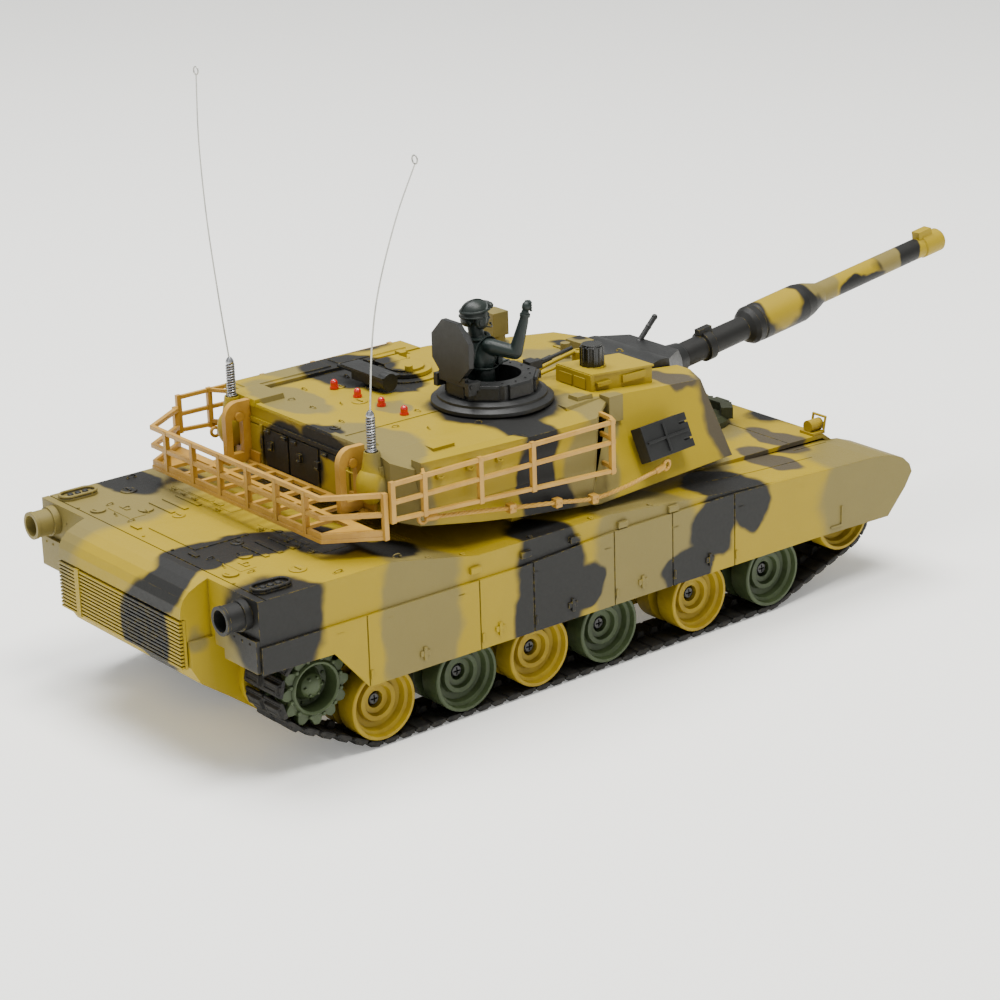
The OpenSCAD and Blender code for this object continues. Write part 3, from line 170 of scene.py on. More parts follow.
def camouflage(name, patches, base):
    """Node group: soft-edged patches over a base colour, with airbrush grain."""
    tree, g = colour_group(name)
    spot = g.place()
    swirl = g.vec("SUBTRACT", g.noise(spot, 0.055, 2.0, 0.5, True), (0.5, 0.5, 0.5))
    fine = g.vec("SUBTRACT", g.noise(spot, 0.5, 2.0, 0.5, True), (0.5, 0.5, 0.5))
    warped = g.vec("ADD", spot, g.vec("MULTIPLY", swirl, (13, 13, 13)))
    warped = g.vec("ADD", warped, g.vec("MULTIPLY", fine, (0.5, 0.5, 0.5)))
    colour = base
    for code in CODES:
        field = None
        for kind, centre, radii in patches:
            if kind != code:
                continue
            away = g.vec("MULTIPLY", g.vec("SUBTRACT", warped, centre), [1 / r for r in radii])
            away = g.length(away)
            field = away if field is None else g.add(
                "ShaderNodeMath", {0: field, 1: away, 2: 0.25}, operation="SMOOTH_MIN").outputs[0]
        if field is not None:
            colour = g.mix(g.step(field, 1.1, 0.9), colour, CODES[code])
    out = tree.nodes.new("NodeGroupOutput")
    tree.links.new(colour, out.inputs["Color"])
    return tree


def flat_tree(name, colour, other, scale=0.12):
    """Node group: one paint or plastic colour with slow mottling towards another."""
    tree, g = colour_group(name)
    f = g.step(g.noise(g.place(), scale, 4.0, 0.6), 0.35, 0.7)
    out = tree.nodes.new("NodeGroupOutput")
    tree.links.new(g.mix(f, colour, other), out.inputs["Color"])
    return tree


# Reach of the softened and worn zones and of the painted shade in hollows, in metres
SOFT_EDGE = 0.0003
WORN_EDGE = 0.0005
SHADE_REACH = 0.0016
# What the paint's colour is multiplied by for dust, fading, painted shade in hollows and rubbed edges
DUSTY = (0.72, 0.70, 0.66, 1)
FADED = (1.22, 1.2, 1.14, 1)
PAINTED_SHADE = (0.26, 0.25, 0.22, 1)
RUBBED = (1.5, 1.46, 1.36, 1)


def finish_material(name, tree, roughness=0.52, wear=0.35, grain=0.03, bare=None,
                    metallic=0.0, coat=0.0, specular=0.28, seams=0.55):
    """Painted or moulded surface: colour, dust, painted shade in seams and hollows, rubbed edges, uneven
    gloss and fine bump.

    bare is the colour that shows where an edge is rubbed through.
    """
    m, g = blank_material(name)
    spot = g.place()
    base = g.add("ShaderNodeGroup")
    base.node_tree = tree
    colour = base.outputs["Color"]
    speck = g.noise(spot, 2.2, 5.0, 0.7)
    colour = g.mix(g.math("MULTIPLY", g.step(speck, 0.35, 0.75), 0.22), colour,
                   g.mix(1.0, colour, DUSTY, "MULTIPLY"))
    slow = g.noise(spot, 0.09, 2.0, 0.5)
    colour = g.mix(g.math("MULTIPLY", g.step(slow, 0.4, 0.75), 0.16), colour,
                   g.mix(1.0, colour, FADED, "MULTIPLY"))
    soft = g.add("ShaderNodeBevel", {"Radius": SOFT_EDGE}, samples=4)
    # painted shade: the colour is darkened where ambient occlusion finds hollows, seams and corners between
    # parts
    if seams:
        hollow = g.add("ShaderNodeAmbientOcclusion", {"Distance": SHADE_REACH}, samples=4, only_local=True)
        shade_mask = g.math("MULTIPLY", g.step(hollow.outputs["AO"], 0.92, 0.35), seams)
        colour = g.mix(shade_mask, colour, g.mix(1.0, colour, PAINTED_SHADE, "MULTIPLY"))
    if wear:
        edge = g.add("ShaderNodeBevel", {"Radius": WORN_EDGE}, samples=4)
        plain = g.add("ShaderNodeNewGeometry").outputs["Normal"]
        turn = g.add("ShaderNodeVectorMath", {0: edge.outputs[0], 1: plain},
                     operation="DOT_PRODUCT").outputs["Value"]
        bent = g.step(turn, 0.985, 0.90)
        rubbed = g.math("MULTIPLY", bent, g.step(g.noise(spot, 0.5, 4.0), 0.42, 0.66))
        under = bare or g.mix(1.0, colour, RUBBED, "MULTIPLY")
        colour = g.mix(g.math("MULTIPLY", rubbed, wear), colour, under)
    rough = g.math("ADD", g.math("MULTIPLY", g.noise(spot, 0.7, 4.0, 0.6), 0.22), roughness - 0.11)
    bump = g.add("ShaderNodeBump", {"Strength": grain * 6, "Distance": 0.0002,
                                    "Height": g.noise(spot, 7.0, 3.0, 0.6),
                                    "Normal": soft.outputs[0]})
    shader = g.add("ShaderNodeBsdfPrincipled", {
        "Base Color": colour, "Roughness": rough, "Normal": bump.outputs[0], "Metallic": metallic,
        "Coat Weight": coat, "Coat Roughness": 0.35, "Specular IOR Level": specular})
    g.add("ShaderNodeOutputMaterial", {"Surface": shader.outputs[0]})
    return m


hull_camo_and_shade = camouflage("hull_camouflage_and_shade", HULL_PATCHES, OCHRE)
turret_camo = camouflage("turret_camouflage", TURRET_PATCHES, OCHRE)
gun_camo = camouflage("gun_camouflage", GUN_PATCHES, BLACK)


def plain_finish(name, first, second, *args, scale=0.12, **options):
    """One paint or plastic, mottled between two close colours."""
    tree = flat_tree(name + "_tint", rgb(*first), rgb(*second), scale)
    return finish_material(name, tree, *args, **options)


def camouflage_finish(name, tree):
    return finish_material(name, tree, 0.52, 0.5, bare=OCHRE)


FINISH_LIST = [
    camouflage_finish("hull_paint", hull_camo_and_shade),
    camouflage_finish("turret_paint", turret_camo),
    camouflage_finish("gun_paint", gun_camo),
    plain_finish("ochre_paint", (156, 132, 24), (142, 118, 20)),
    plain_finish("green_paint", (62, 74, 46), (52, 63, 38), 0.42),
    plain_finish("olive_paint", (52, 56, 36), (42, 46, 30), 0.45),
    plain_finish("khaki_paint", (118, 106, 56), (108, 98, 50)),
    plain_finish("dark_paint", (30, 31, 31), (22, 23, 23), 0.42, specular=0.4),
    plain_finish("helmet_paint", (22, 32, 28), (16, 25, 22), 0.42, specular=0.4),
    plain_finish("whip", (186, 186, 180), (160, 160, 156), 0.3, 0.0, 0.01, metallic=0.6, seams=0),
    plain_finish("figure_paint", (24, 36, 33), (18, 28, 26), 0.45, specular=0.4),
    plain_finish("tan_plastic", (180, 138, 54), (166, 124, 44), 0.36, 0.2, specular=0.4),
    plain_finish("rubber", (20, 20, 20), (42, 40, 36), 0.62, 0.5, 0.08, scale=0.35),
    plain_finish("steel", (176, 178, 182), (150, 152, 158), 0.25, 0.0, 0.01, metallic=1.0),
    plain_finish("brass", (206, 170, 92), (184, 148, 76), 0.3, 0.0, 0.01, metallic=1.0),
    plain_finish("black_screw", (18, 18, 20), (30, 30, 32), 0.2, 0.4, 0.01, coat=0.5),
    plain_finish("black_gloss", (14, 15, 14), (22, 23, 21), 0.26, 0.3, 0.02, specular=0.5),
    plain_finish("cell_wrap", (52, 98, 158), (44, 84, 140), 0.3, 0.1),
    plain_finish("board", (28, 98, 60), (22, 80, 50), 0.4, 0.1),
]
MATERIALS = {m.name.split(".")[0]: m for m in FINISH_LIST}


def red_lens():
    """Tinted lamp epoxy, mottled between two reds, with a faint glow."""
    m, g = blank_material("red_lens")
    f = g.step(g.noise(g.place(), 1.5, 3.0), 0.3, 0.7)
    colour = g.mix(f, rgb(214, 28, 14), rgb(176, 14, 8))
    shader = g.add("ShaderNodeBsdfPrincipled", {
        "Base Color": colour, "Roughness": 0.12, "Transmission Weight": 0.35, "IOR": 1.5,
        "Coat Weight": 0.5, "Emission Color": rgb(220, 20, 8), "Emission Strength": 0.12})
    g.add("ShaderNodeOutputMaterial", {"Surface": shader.outputs[0]})
    return m


MATERIALS["red_lens"] = red_lens()

# Which finish each CAD part gets
FINISHES = {
    "hull_paint": ["lower_hull", "upper_hull", "rear_louvre", "tail_pipes", "rear_mudflaps", "side_skirts",
                   "battery_door", "final_drive_covers"],
    "turret_paint": ["turret_shell", "turret_base", "sight_box", "loader_hatch"],
    "gun_paint": ["gun_barrel"],
    "ochre_paint": ["headlights", "idler_left", "idler_right"]
    + [f"wheel_{s}_{i}" for s in ("left", "right") for i in (1, 3, 5)],
    "green_paint": ["sprocket_left", "sprocket_right"]
    + [f"wheel_{s}_{i}" for s in ("left", "right") for i in (2, 4, 6)],
    "olive_paint": ["driver_hatch"],
    "khaki_paint": ["tail_lights", "thermal_viewer"],
    "dark_paint": ["smoke_launchers", "mantlet", "cupola", "cupola_hatch", "loader_gun", "commander_gun"],
    "figure_paint": ["commander"],
    "tan_plastic": ["bustle_rack", "side_rails", "tow_cables"],
    "rubber": ["track_left", "track_right"],
    "steel": ["antennas", "wheel_axles", "drive_motors", "drive_gear_left", "drive_gear_right"],
    "brass": ["motor_pinion_left", "motor_pinion_right"],
    "black_screw": ["wheel_screws"],
    "black_gloss": ["ir_receiver", "gearboxes", "speaker", "power_switch"],
    "cell_wrap": ["battery_pack"],
    "board": ["circuit_board"],
    "red_lens": ["led_lamps"],
}
for finish, names in FINISHES.items():
    for n in names:
        mesh = nodes[n].data
        mesh.materials.clear()
        mesh.materials.append(MATERIALS[finish])


# ---------------------------------------------------------------- mesh helpers, in millimetres

BEVEL_ANGLE = 35
SHARP_ANGLE = 38


class Shape:
    """Simple solids gathered into one mesh."""

    def __init__(self):
        self.bm = bmesh.new()

    def mesh(self, verts, faces, turn=None):
        """Adds faces. A face that repeats a corner or another face is left out."""
        new = [self.bm.verts.new(turn @ Vector(v) if turn else Vector(v)) for v in verts]
        for f in faces:
            try:
                self.bm.faces.new([new[i] for i in f])
            except ValueError:
                pass
        return self

    def box(self, x0, x1, y0, y1, z0, z1, turn=None, inset=0.0):
        """Box whose top is drawn in by inset on every side."""
        i = inset
        v = [(x0, y0, z0), (x1, y0, z0), (x1, y1, z0), (x0, y1, z0),
             (x0 + i, y0 + i, z1), (x1 - i, y0 + i, z1), (x1 - i, y1 - i, z1), (x0 + i, y1 - i, z1)]
        f = [(3, 2, 1, 0), (4, 5, 6, 7), (0, 1, 5, 4), (1, 2, 6, 5), (2, 3, 7, 6), (3, 0, 4, 7)]
        return self.mesh(v, f, turn)

    def tube(self, points, radius, sides=10, closed=False, turn=None, flat=1.0):
        """Round bar along points. radius is one number or one for each point."""
        p = [Vector(q) for q in points]
        r = radius if hasattr(radius, "__len__") else [radius] * len(p)
        n = len(p)
        verts, faces = [], []
        side = None
        for i in range(n):
            a = p[(i - 1) % n] if closed or i else p[0]
            b = p[(i + 1) % n] if closed or i < n - 1 else p[-1]
            d = (b - a).normalized()
            if side is None:
                side = d.orthogonal().normalized()
            side = (side - d * side.dot(d)).normalized()
            up = d.cross(side)
            for k in range(sides):
                t = math.tau * k / sides
                verts.append(p[i] + side * (r[i] * math.cos(t)) + up * (r[i] * flat * math.sin(t)))
        for i in range(n if closed else n - 1):
            j = (i + 1) % n
            for k in range(sides):
                m = (k + 1) % sides
                faces.append((i * sides + k, i * sides + m, j * sides + m, j * sides + k))
        if not closed:
            faces += [tuple(range(sides))[::-1], tuple(range((n - 1) * sides, n * sides))]
        return self.mesh(verts, faces, turn)

    def lathe(self, outline, centre, axis="Z", sides=32, turn=None):
        """(radius, height) outline turned about an axis through centre."""
        c = Vector(centre)
        frames = {"Z": ((1, 0, 0), (0, 1, 0), (0, 0, 1)), "X": ((0, 1, 0), (0, 0, 1), (1, 0, 0)),
                  "Y": ((0, 0, 1), (1, 0, 0), (0, 1, 0))}
        u, v, w = (Vector(q) for q in frames[axis])
        verts, faces, rings = [], [], []
        for r, h in outline:
            if r < 1e-6:
                rings.append([len(verts)])
                verts.append(c + w * h)
            else:
                rings.append(list(range(len(verts), len(verts) + sides)))
                for k in range(sides):
                    t = math.tau * k / sides
                    verts.append(c + w * h + u * (r * math.cos(t)) + v * (r * math.sin(t)))
        for a, b in zip(rings, rings[1:]):
            for k in range(sides):
                m = (k + 1) % sides
                q = [a[k % len(a)], a[m % len(a)], b[m % len(b)], b[k % len(b)]]
                q = [x for i, x in enumerate(q) if x not in q[:i]]
                if len(q) > 2:
                    faces.append(q)
        return self.mesh(verts, faces, turn)

    def ball(self, centre, radii, turn=None, detail=3):
        tmp = bmesh.new()
        bmesh.ops.create_icosphere(tmp, subdivisions=detail, radius=1)
        radii = radii if hasattr(radii, "__len__") else (radii,) * 3
        spin = turn or Matrix.Identity(4)
        verts = [Vector(centre) + spin @ Vector([a * b for a, b in zip(v.co, radii)]) for v in tmp.verts]
        faces = [tuple(v.index for v in f.verts) for f in tmp.faces]
        tmp.free()
        return self.mesh(verts, faces)

    def limb(self, a, b, ra, rb, sides=14):
        """Tapered bar with round ends."""
        self.tube([a, b], [ra, rb], sides)
        return self.ball(a, ra, detail=2).ball(b, rb, detail=2)

    def slab(self, outline, low, high, axis="X", turn=None):
        """Flat outline pushed along an axis: (Y, Z) along X, (X, Z) along Y, (X, Y) along Z."""
        def at(p, h):
            return {"X": (h, p[0], p[1]), "Y": (p[0], h, p[1]), "Z": (p[0], p[1], h)}[axis]
        n = len(outline)
        verts = [at(p, low) for p in outline] + [at(p, high) for p in outline]
        faces = [tuple(range(n))[::-1], tuple(range(n, 2 * n))]
        faces += [(k, (k + 1) % n, n + (k + 1) % n, n + k) for k in range(n)]
        return self.mesh(verts, faces, turn)

    def done(self, name, body, finish, slot, bevel=0.0, smooth=True, extra=()):
        """Turns the shape into a named object that rides on a body."""
        bmesh.ops.recalc_face_normals(self.bm, faces=self.bm.faces)
        for v in self.bm.verts:
            v.co *= MM
        m = bpy.data.meshes.new(name)
        self.bm.to_mesh(m)
        self.bm.free()
        o = bpy.data.objects.new(name, m)
        scene.collection.objects.link(o)
        m.materials.append(MATERIALS[finish])
        for kind, settings in extra:
            mod = o.modifiers.new(kind.lower(), kind)
            for k, v in settings.items():
                setattr(mod, k, v)
        if bevel:
            mod = o.modifiers.new("edges", "BEVEL")
            mod.width = bevel * MM
            mod.segments = 2
            mod.limit_method = "ANGLE"
            mod.angle_limit = math.radians(BEVEL_ANGLE)
            mod.harden_normals = False
        if smooth:
            for f in m.polygons:
                f.use_smooth = True
            m.set_sharp_from_angle(angle=math.radians(SHARP_ANGLE))
        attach(o, body)
        return o


def arc(centre, radius, a0, a1, n, plane="XY"):
    """Points on an arc from angle a0 to a1, in n steps."""
    out = []
    for i in range(n + 1):
        t = math.radians(a0 + (a1 - a0) * i / n)
        u, v = radius * math.cos(t), radius * math.sin(t)
        c = centre
        out.append({"XY": (c[0] + u, c[1] + v, c[2]), "XZ": (c[0] + u, c[1], c[2] + v),
                    "YZ": (c[0], c[1] + u, c[2] + v)}[plane])
    return out


def smooth_line(points, steps=6):
    """Catmull-Rom line through points."""
    p = [Vector(q) for q in points]
    p = [p[0] * 2 - p[1]] + p + [p[-1] * 2 - p[-2]]
    out = []
    for i in range(1, len(p) - 2):
        a, b, c, d = p[i - 1:i + 3]
        for k in range(steps):
            t = k / steps
            out.append(0.5 * ((2 * b) + (c - a) * t + (2 * a - 5 * b + 4 * c - d) * t * t
                              + (3 * b - a - 3 * c + d) * t ** 3))
    return out + [p[-2]]


# ---------------------------------------------------------------- commander

def build_commander():
    head = Vector((-20.4, 21.4, 138.4))
    turn = Matrix.Rotation(math.radians(-8), 4, "Z")

    def h(x, y, z):
        return head + turn @ Vector((x, y, z))

    s = Shape()
    # torso, hips, shoulders and neck
    s.ball((-22, 21.6, 122.5), (8.0, 5.2, 8.4)).ball((-22, 21.4, 114), (6.9, 5.1, 8))
    s.ball((-22, 21.6, 105.5), (6.5, 5.4, 6.6))
    s.limb((-28.2, 21.4, 127), (-15.6, 21.4, 127), 3.1, 3.1).ball((-22, 18.6, 122.6), (6.6, 3.2, 5.6))
    s.ball((-22, 24.6, 121), (6.4, 3.0, 6.6)).limb((-22, 21.6, 127), h(0, 0.8, -5), 3.3, 2.9)
    # raised right arm
    s.limb((-28.8, 21, 126.9), (-35.4, 14.4, 124.6), 3.2, 2.8)
    s.limb((-35.4, 14.4, 124.6), (-37.4, 11.5, 137), 2.8, 1.95)
    s.limb((-37.4, 11.5, 137), (-37.9, 11, 140.6), 1.9, 1.6)
    # left arm, hand on the ring
    s.limb((-15.2, 21, 126.8), (-14.2, 16.6, 120.6), 3.1, 2.6)
    s.limb((-14.2, 16.6, 120.6), (-17.4, 12.2, 118.4), 2.5, 1.7)
    # head and face
    s.ball(h(0, -0.2, -0.6), (4.1, 4.7, 5.2), turn).ball(h(0, -2.0, -4.1), (3.0, 2.9, 2.5), turn)
    s.ball(h(0, -4.0, -5.5), (1.3, 0.9, 0.8), turn).limb(h(0, -4.75, -1.2), h(0, -5.6, -2.5), 0.5, 0.72)
    s.ball(h(0.62, -5.1, -2.75), 0.5).ball(h(-0.62, -5.1, -2.75), 0.5)
    s.limb(h(-2.1, -4.1, -0.3), h(2.1, -4.1, -0.3), 0.75, 0.75)
    for x in (-1, 1):
        s.ball(h(x * 2.3, -3.2, -2.7), (1.2, 1.0, 1.1)).ball(h(x * 1.6, -4.05, -1.25), (0.85, 0.6, 0.5))
    skin = s.done("commander_body", "cupola", "figure_paint", "green_plastic", smooth=False, extra=[
        ("REMESH", {"mode": "VOXEL", "voxel_size": 0.00032, "use_smooth_shade": True}),
        ("SMOOTH", {"factor": 0.6, "iterations": 3})])

    d = Shape()
    # lips and eyelids
    d.tube([h(-1.1, -4.55, -4.0), h(-0.4, -4.95, -3.85), h(0.4, -4.95, -3.85), h(1.1, -4.55, -4.0)], 0.24, 8)
    d.tube([h(-0.9, -4.5, -4.45), h(0, -4.85, -4.5), h(0.9, -4.5, -4.45)], 0.27, 8)
    for x in (-1, 1):
        d.tube([h(x * 0.8, -4.5, -1.1), h(x * 1.6, -4.72, -0.9), h(x * 2.4, -4.2, -1.2)], 0.17, 6)
        d.tube([h(x * 0.9, -4.5, -1.55), h(x * 1.6, -4.6, -1.7), h(x * 2.3, -4.2, -1.5)], 0.13, 6)
    # collar, belt, hem, pouches, zip and straps
    d.tube([(-22 + 4.1 * math.cos(t), 21.5 + 3.6 * math.sin(t), 129.6 - 0.5 * math.sin(t)) for t in
            [math.tau * k / 24 for k in range(24)]], 0.85, 8, closed=True)
    for z, rx, ry, r in ((110, 7.25, 5.75, 0.75), (118.4, 7.75, 5.9, 0.4)):
        d.tube([(-22 + rx * math.cos(t), 21.3 + ry * math.sin(t), z) for t in
                [math.tau * k / 32 for k in range(32)]], r, 8, closed=True)
    for x in (-26.4, -17.6):
        d.box(x - 1.9, x + 1.9, 15.1, 17.2, 118.6, 122.4).box(x - 2.1, x + 2.1, 14.9, 17.2, 121.5, 122.7)
    d.tube(smooth_line([(-22, 15.7, 110), (-22, 15.5, 116), (-22, 15.3, 122), (-22, 16.6, 127.5)]), 0.28, 6)
    for x in (-1, 1):
        strap = [(-22 + x * 4.2, 15.6, 123), (-22 + x * 4.6, 17.6, 128.4), (-22 + x * 4.8, 21.4, 130.4),
                 (-22 + x * 4.4, 25.6, 127.6), (-22 + x * 4, 27.5, 121)]
        d.tube(smooth_line(strap), 0.75, 8, flat=0.4)
    # cuffs, the raised fist and the hand on the ring
    d.tube([(-37.75, 11.15, 138.8), (-37.85, 11.05, 140)], 2.05, 16)
    d.tube([(-16.9, 12.6, 118.5), (-17.4, 12.1, 118.3)], 1.95, 16)
    fist = Vector((-38.3, 10.6, 142.9))
    d.ball(fist, (1.75, 1.9, 2.0))
    for k in range(4):
        z = 1.5 - 1.0 * k
        d.limb(fist + Vector((-1.5, -0.9, z)), fist + Vector((0.5, -1.9, z)), 0.56, 0.56, 8)
        d.limb(fist + Vector((0.5, -1.9, z)), fist + Vector((1.5, -0.9, z)), 0.56, 0.5, 8)
    d.limb(fist + Vector((1.5, 0.4, -0.9)), fist + Vector((1.1, -1.7, 0.5)), 0.65, 0.55, 8)
    hand = Vector((-19.6, 10.6, 117.6))
    d.ball(hand, (1.8, 1.7, 1.0))
    for k in range(4):
        q = hand + Vector((-1.5 + 0.2 * k, 0.9 - 0.85 * k, 0.1))
        d.limb(q, q + Vector((-1.9, -0.5, -0.35)), 0.5, 0.42, 8)
    d.limb(hand + Vector((0.2, 1.3, 0.1)), hand + Vector((-1.7, 2.2, 0)), 0.5, 0.45, 8)
    d.done("commander_details", "cupola", "figure_paint", "green_plastic")

    m = Shape()
    # helmet shell with a rolled rim, ear cups, crest seam, goggles and microphone
    rows = []
    count, around = 14, 40
    for i in range(1, count + 1):
        ring = []
        for k in range(around):
            lon = math.tau * k / around
            front = max(0.0, -math.sin(lon))
            drop = min(1.0, i / count) * (1.0 - 0.55 * front ** 0.7)
            lat = math.radians(90 - 100 * drop)
            flare = 1 + 0.05 * max(0, i - 11) / 3
            ring.append(h(5.35 * flare * math.cos(lat) * math.cos(lon),
                          0.35 + 6.05 * flare * math.cos(lat) * math.sin(lon),
                          0.5 + 5.2 * math.sin(lat)))
        rows.append(ring)
    verts = [v for ring in rows for v in ring] + [h(0, 0.35, 5.7)]
    faces = []
    for i in range(count - 1):
        for k in range(around):
            this, after = i * around, (i + 1) * around
            faces.append((this + k, this + (k + 1) % around, after + (k + 1) % around, after + k))
    faces += [(len(verts) - 1, (k + 1) % around, k) for k in range(around)]
    m.mesh(verts, faces)
    m.tube(rows[-1], 0.42, 8, closed=True)
    m.tube([h(0, 0.35 - 6.15 * math.cos(t), 0.5 + 5.3 * math.sin(t)) for t in
            [math.radians(25 + 150 * k / 20) for k in range(21)]], 0.3, 6)
    for x in (-1, 1):
        m.ball(h(x * 4.7, 0.5, -2.2), (1.25, 2.7, 2.9), turn)
        m.lathe([(0, 0), (1.5, 0), (1.5, 0.5), (0, 0.5)], h(x * 5.7 - 0.25, 0.5, -2.2), "X", 20)
    m.ball(h(0, 4.6, -2.2), (3.7, 1.5, 2.2), turn)
    m.tube([h(5.55 * math.sin(t), 0.3 - 6.2 * math.cos(t), 2.0 + 0.6 * math.cos(t)) for t in
            [math.tau * k / 36 for k in range(36)]], 0.5, 8, closed=True, flat=0.5)
    for x in (-1, 1):
        m.limb(h(x * 2.6, -5.15, 2.9), h(x * 0.9, -5.95, 2.9), 1.15, 1.15, 12)
    frame_line = ((-3.6, -4.8), (-1.6, -6.6), (0, -6.8), (1.6, -6.6), (3.6, -4.8))
    m.tube([h(x, y, 2.9) for x, y in frame_line], 0.45, 8)
    boom = [h(-5.6, -0.4, -3.6), h(-5.2, -3, -4.6), h(-3.2, -5.2, -5.1), h(-1.3, -5.7, -4.6)]
    m.tube(smooth_line(boom), 0.26, 6)
    m.ball(h(-1.1, -5.7, -4.5), (0.75, 0.45, 0.45))
    m.done("commander_helmet", "cupola", "helmet_paint", "green_plastic")
    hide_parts("commander")


build_commander()


# ---------------------------------------------------------------- antennas

ANTENNA_X = 46.6
ANTENNA_Y = 92
WHIPS = [
    [(ANTENNA_X, ANTENNA_Y, 119), (50.2, 93, 146), (51.8, 95, 177), (52.2, 96, 207), (51, 96, 232.5)],
    [(-ANTENNA_X, ANTENNA_Y, 119), (-51.4, 93, 148), (-60, 95, 171), (-73.6, 96, 199), (-86, 96, 220.5)],
]
# The spring, then the ferrules that hold it, as (radius, height)
SPRING_TURNS = 12
SPRING_STEPS = SPRING_TURNS * 16
FERRULES = [(0, 105.2), (2.1, 105.2), (2.1, 106), (1.2, 106.3), (1.0, 118.3), (1.5, 118.6),
            (1.7, 119.4), (1.3, 120.4), (0.7, 121.2), (0, 121.2)]


def build_antennas():
    s, w = Shape(), Shape()
    for whip in WHIPS:
        x, y = whip[0][:2]
        coil = []
        for k in range(SPRING_STEPS + 1):
            t = math.tau * SPRING_TURNS * k / SPRING_STEPS
            coil.append((x + 1.45 * math.cos(t), y + 1.45 * math.sin(t), 106 + 12.6 * k / SPRING_STEPS))
        s.tube(coil, 0.44, 8)
        s.lathe(FERRULES, (x, y, 0), "Z", 24)
        line = smooth_line(whip, 8)
        w.tube(line, [0.34 - 0.1 * k / len(line) for k in range(len(line))], 10)
        tip = Vector(whip[-1])
        w.tube(arc((tip.x, tip.y, tip.z + 1.6), 1.5, -90, 250, 24, "XZ"), 0.3, 8)
    o = s.done("antenna_springs", "turret", "steel", "steel")
    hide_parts("antennas")
    w.done("antenna_whips", "turret", "whip", "steel")


build_antennas()


# ---------------------------------------------------------------- tow cables

# The left cable's route, the same as the CAD's
CABLE = [(69.2, 82, 83.2), (69.6, 66, 81), (70, 46, 78), (70.4, 24, 74.8),
         (70.4, 6, 72), (69.6, -10, 72.4), (68.8, -22, 73.8), (67.8, -30, 74.6)]


STRANDS = 4


def add_cable(s, side):
    """Twisted strands with an eye on each end, held by three clamps."""
    line = [Vector((side * p.x, p.y, p.z)) for p in smooth_line(CABLE, 26)]
    n = len(line)
    for strand in range(STRANDS):
        pts = []
        for i, p in enumerate(line):
            d = (line[min(i + 1, n - 1)] - line[max(i - 1, 0)]).normalized()
            u = d.cross(Vector((1, 0, 0))).normalized()
            v = d.cross(u)
            t = i * 0.42 * side + math.tau * strand / STRANDS
            pts.append(p + (u * math.cos(t) + v * math.sin(t)) * 0.46)
        s.tube(pts, 0.44, 6)
    for end, away in ((line[0], (0, 1, 0.13)), (line[-1], (-side * 0.18, -1, 0.12))):
        a = Vector(away).normalized()
        s.tube([end - a * 2.4, end - a * 1.6, end + a * 2.2, end + a * 3.4], [1.0, 1.35, 1.35, 0.9], 14)
        c = end + a * 4.6
        s.tube([c + a * (1.9 * math.cos(t)) + Vector((0, 0, 1.8 * math.sin(t)))
                for t in [math.tau * k / 28 for k in range(28)]], 0.72, 10, closed=True)
    for i in (2, 3, 4):
        x, y, z = CABLE[i]
        x *= side
        s.box(x - 1.5, x + 1.5, y - 1.5, y + 1.5, z - 1.7, z + 1.7)
        for dy in (-0.9, 0.9):
            s.tube([(x, y + dy, z + 1.2), (x + side * 1.75, y + dy, z), (x, y + dy, z - 1.2)], 0.3, 6)


def build_cables():
    s = Shape()
    for side in (1, -1):
        add_cable(s, side)
    o = s.done("tow_cable_twist", "turret", "tan_plastic", "tan_plastic", bevel=0.12)
    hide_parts("tow_cables")


build_cables()


# ---------------------------------------------------------------- tracks

LINK_PITCH = 7.4
# What the belt runs round, as (Y, Z, radius): end wheels, sprocket, idler
CIRCLES = [(-87.1, 17.4, 14.6), (109.5, 17.4, 14.6), (138, 31.6, 15.0), (-127.5, 31.6, 14.6)]


def belt_links():
    """Links as (Y, Z, outward angle), the same ones as the CAD belt has."""
    def normal(i):
        a, b = CIRCLES[i % 4], CIRCLES[(i + 1) % 4]
        dy, dz = b[0] - a[0], b[1] - a[1]
        return math.degrees(math.atan2(dz, dy) - math.acos((a[2] - b[2]) / math.hypot(dy, dz)))

    def touch(i, angle):
        y, z, r = CIRCLES[i % 4]
        t = math.radians(angle)
        return Vector((y + r * math.cos(t), z + r * math.sin(t)))

    out = []
    for i in range(4):
        start, end = normal(i - 1), normal(i)
        sweep = (end - start) % 360
        n = max(1, round(math.radians(sweep) * CIRCLES[i][2] / LINK_PITCH))
        for k in range(n):
            a = start + sweep * (k + 0.5) / n
            out.append((*touch(i, a), a))
        p, q = touch(i, end), touch(i + 1, end)
        m = round((q - p).length / LINK_PITCH)
        for k in range(m):
            out.append((*(p + (q - p) * (k + 0.5) / m), end))
    return out


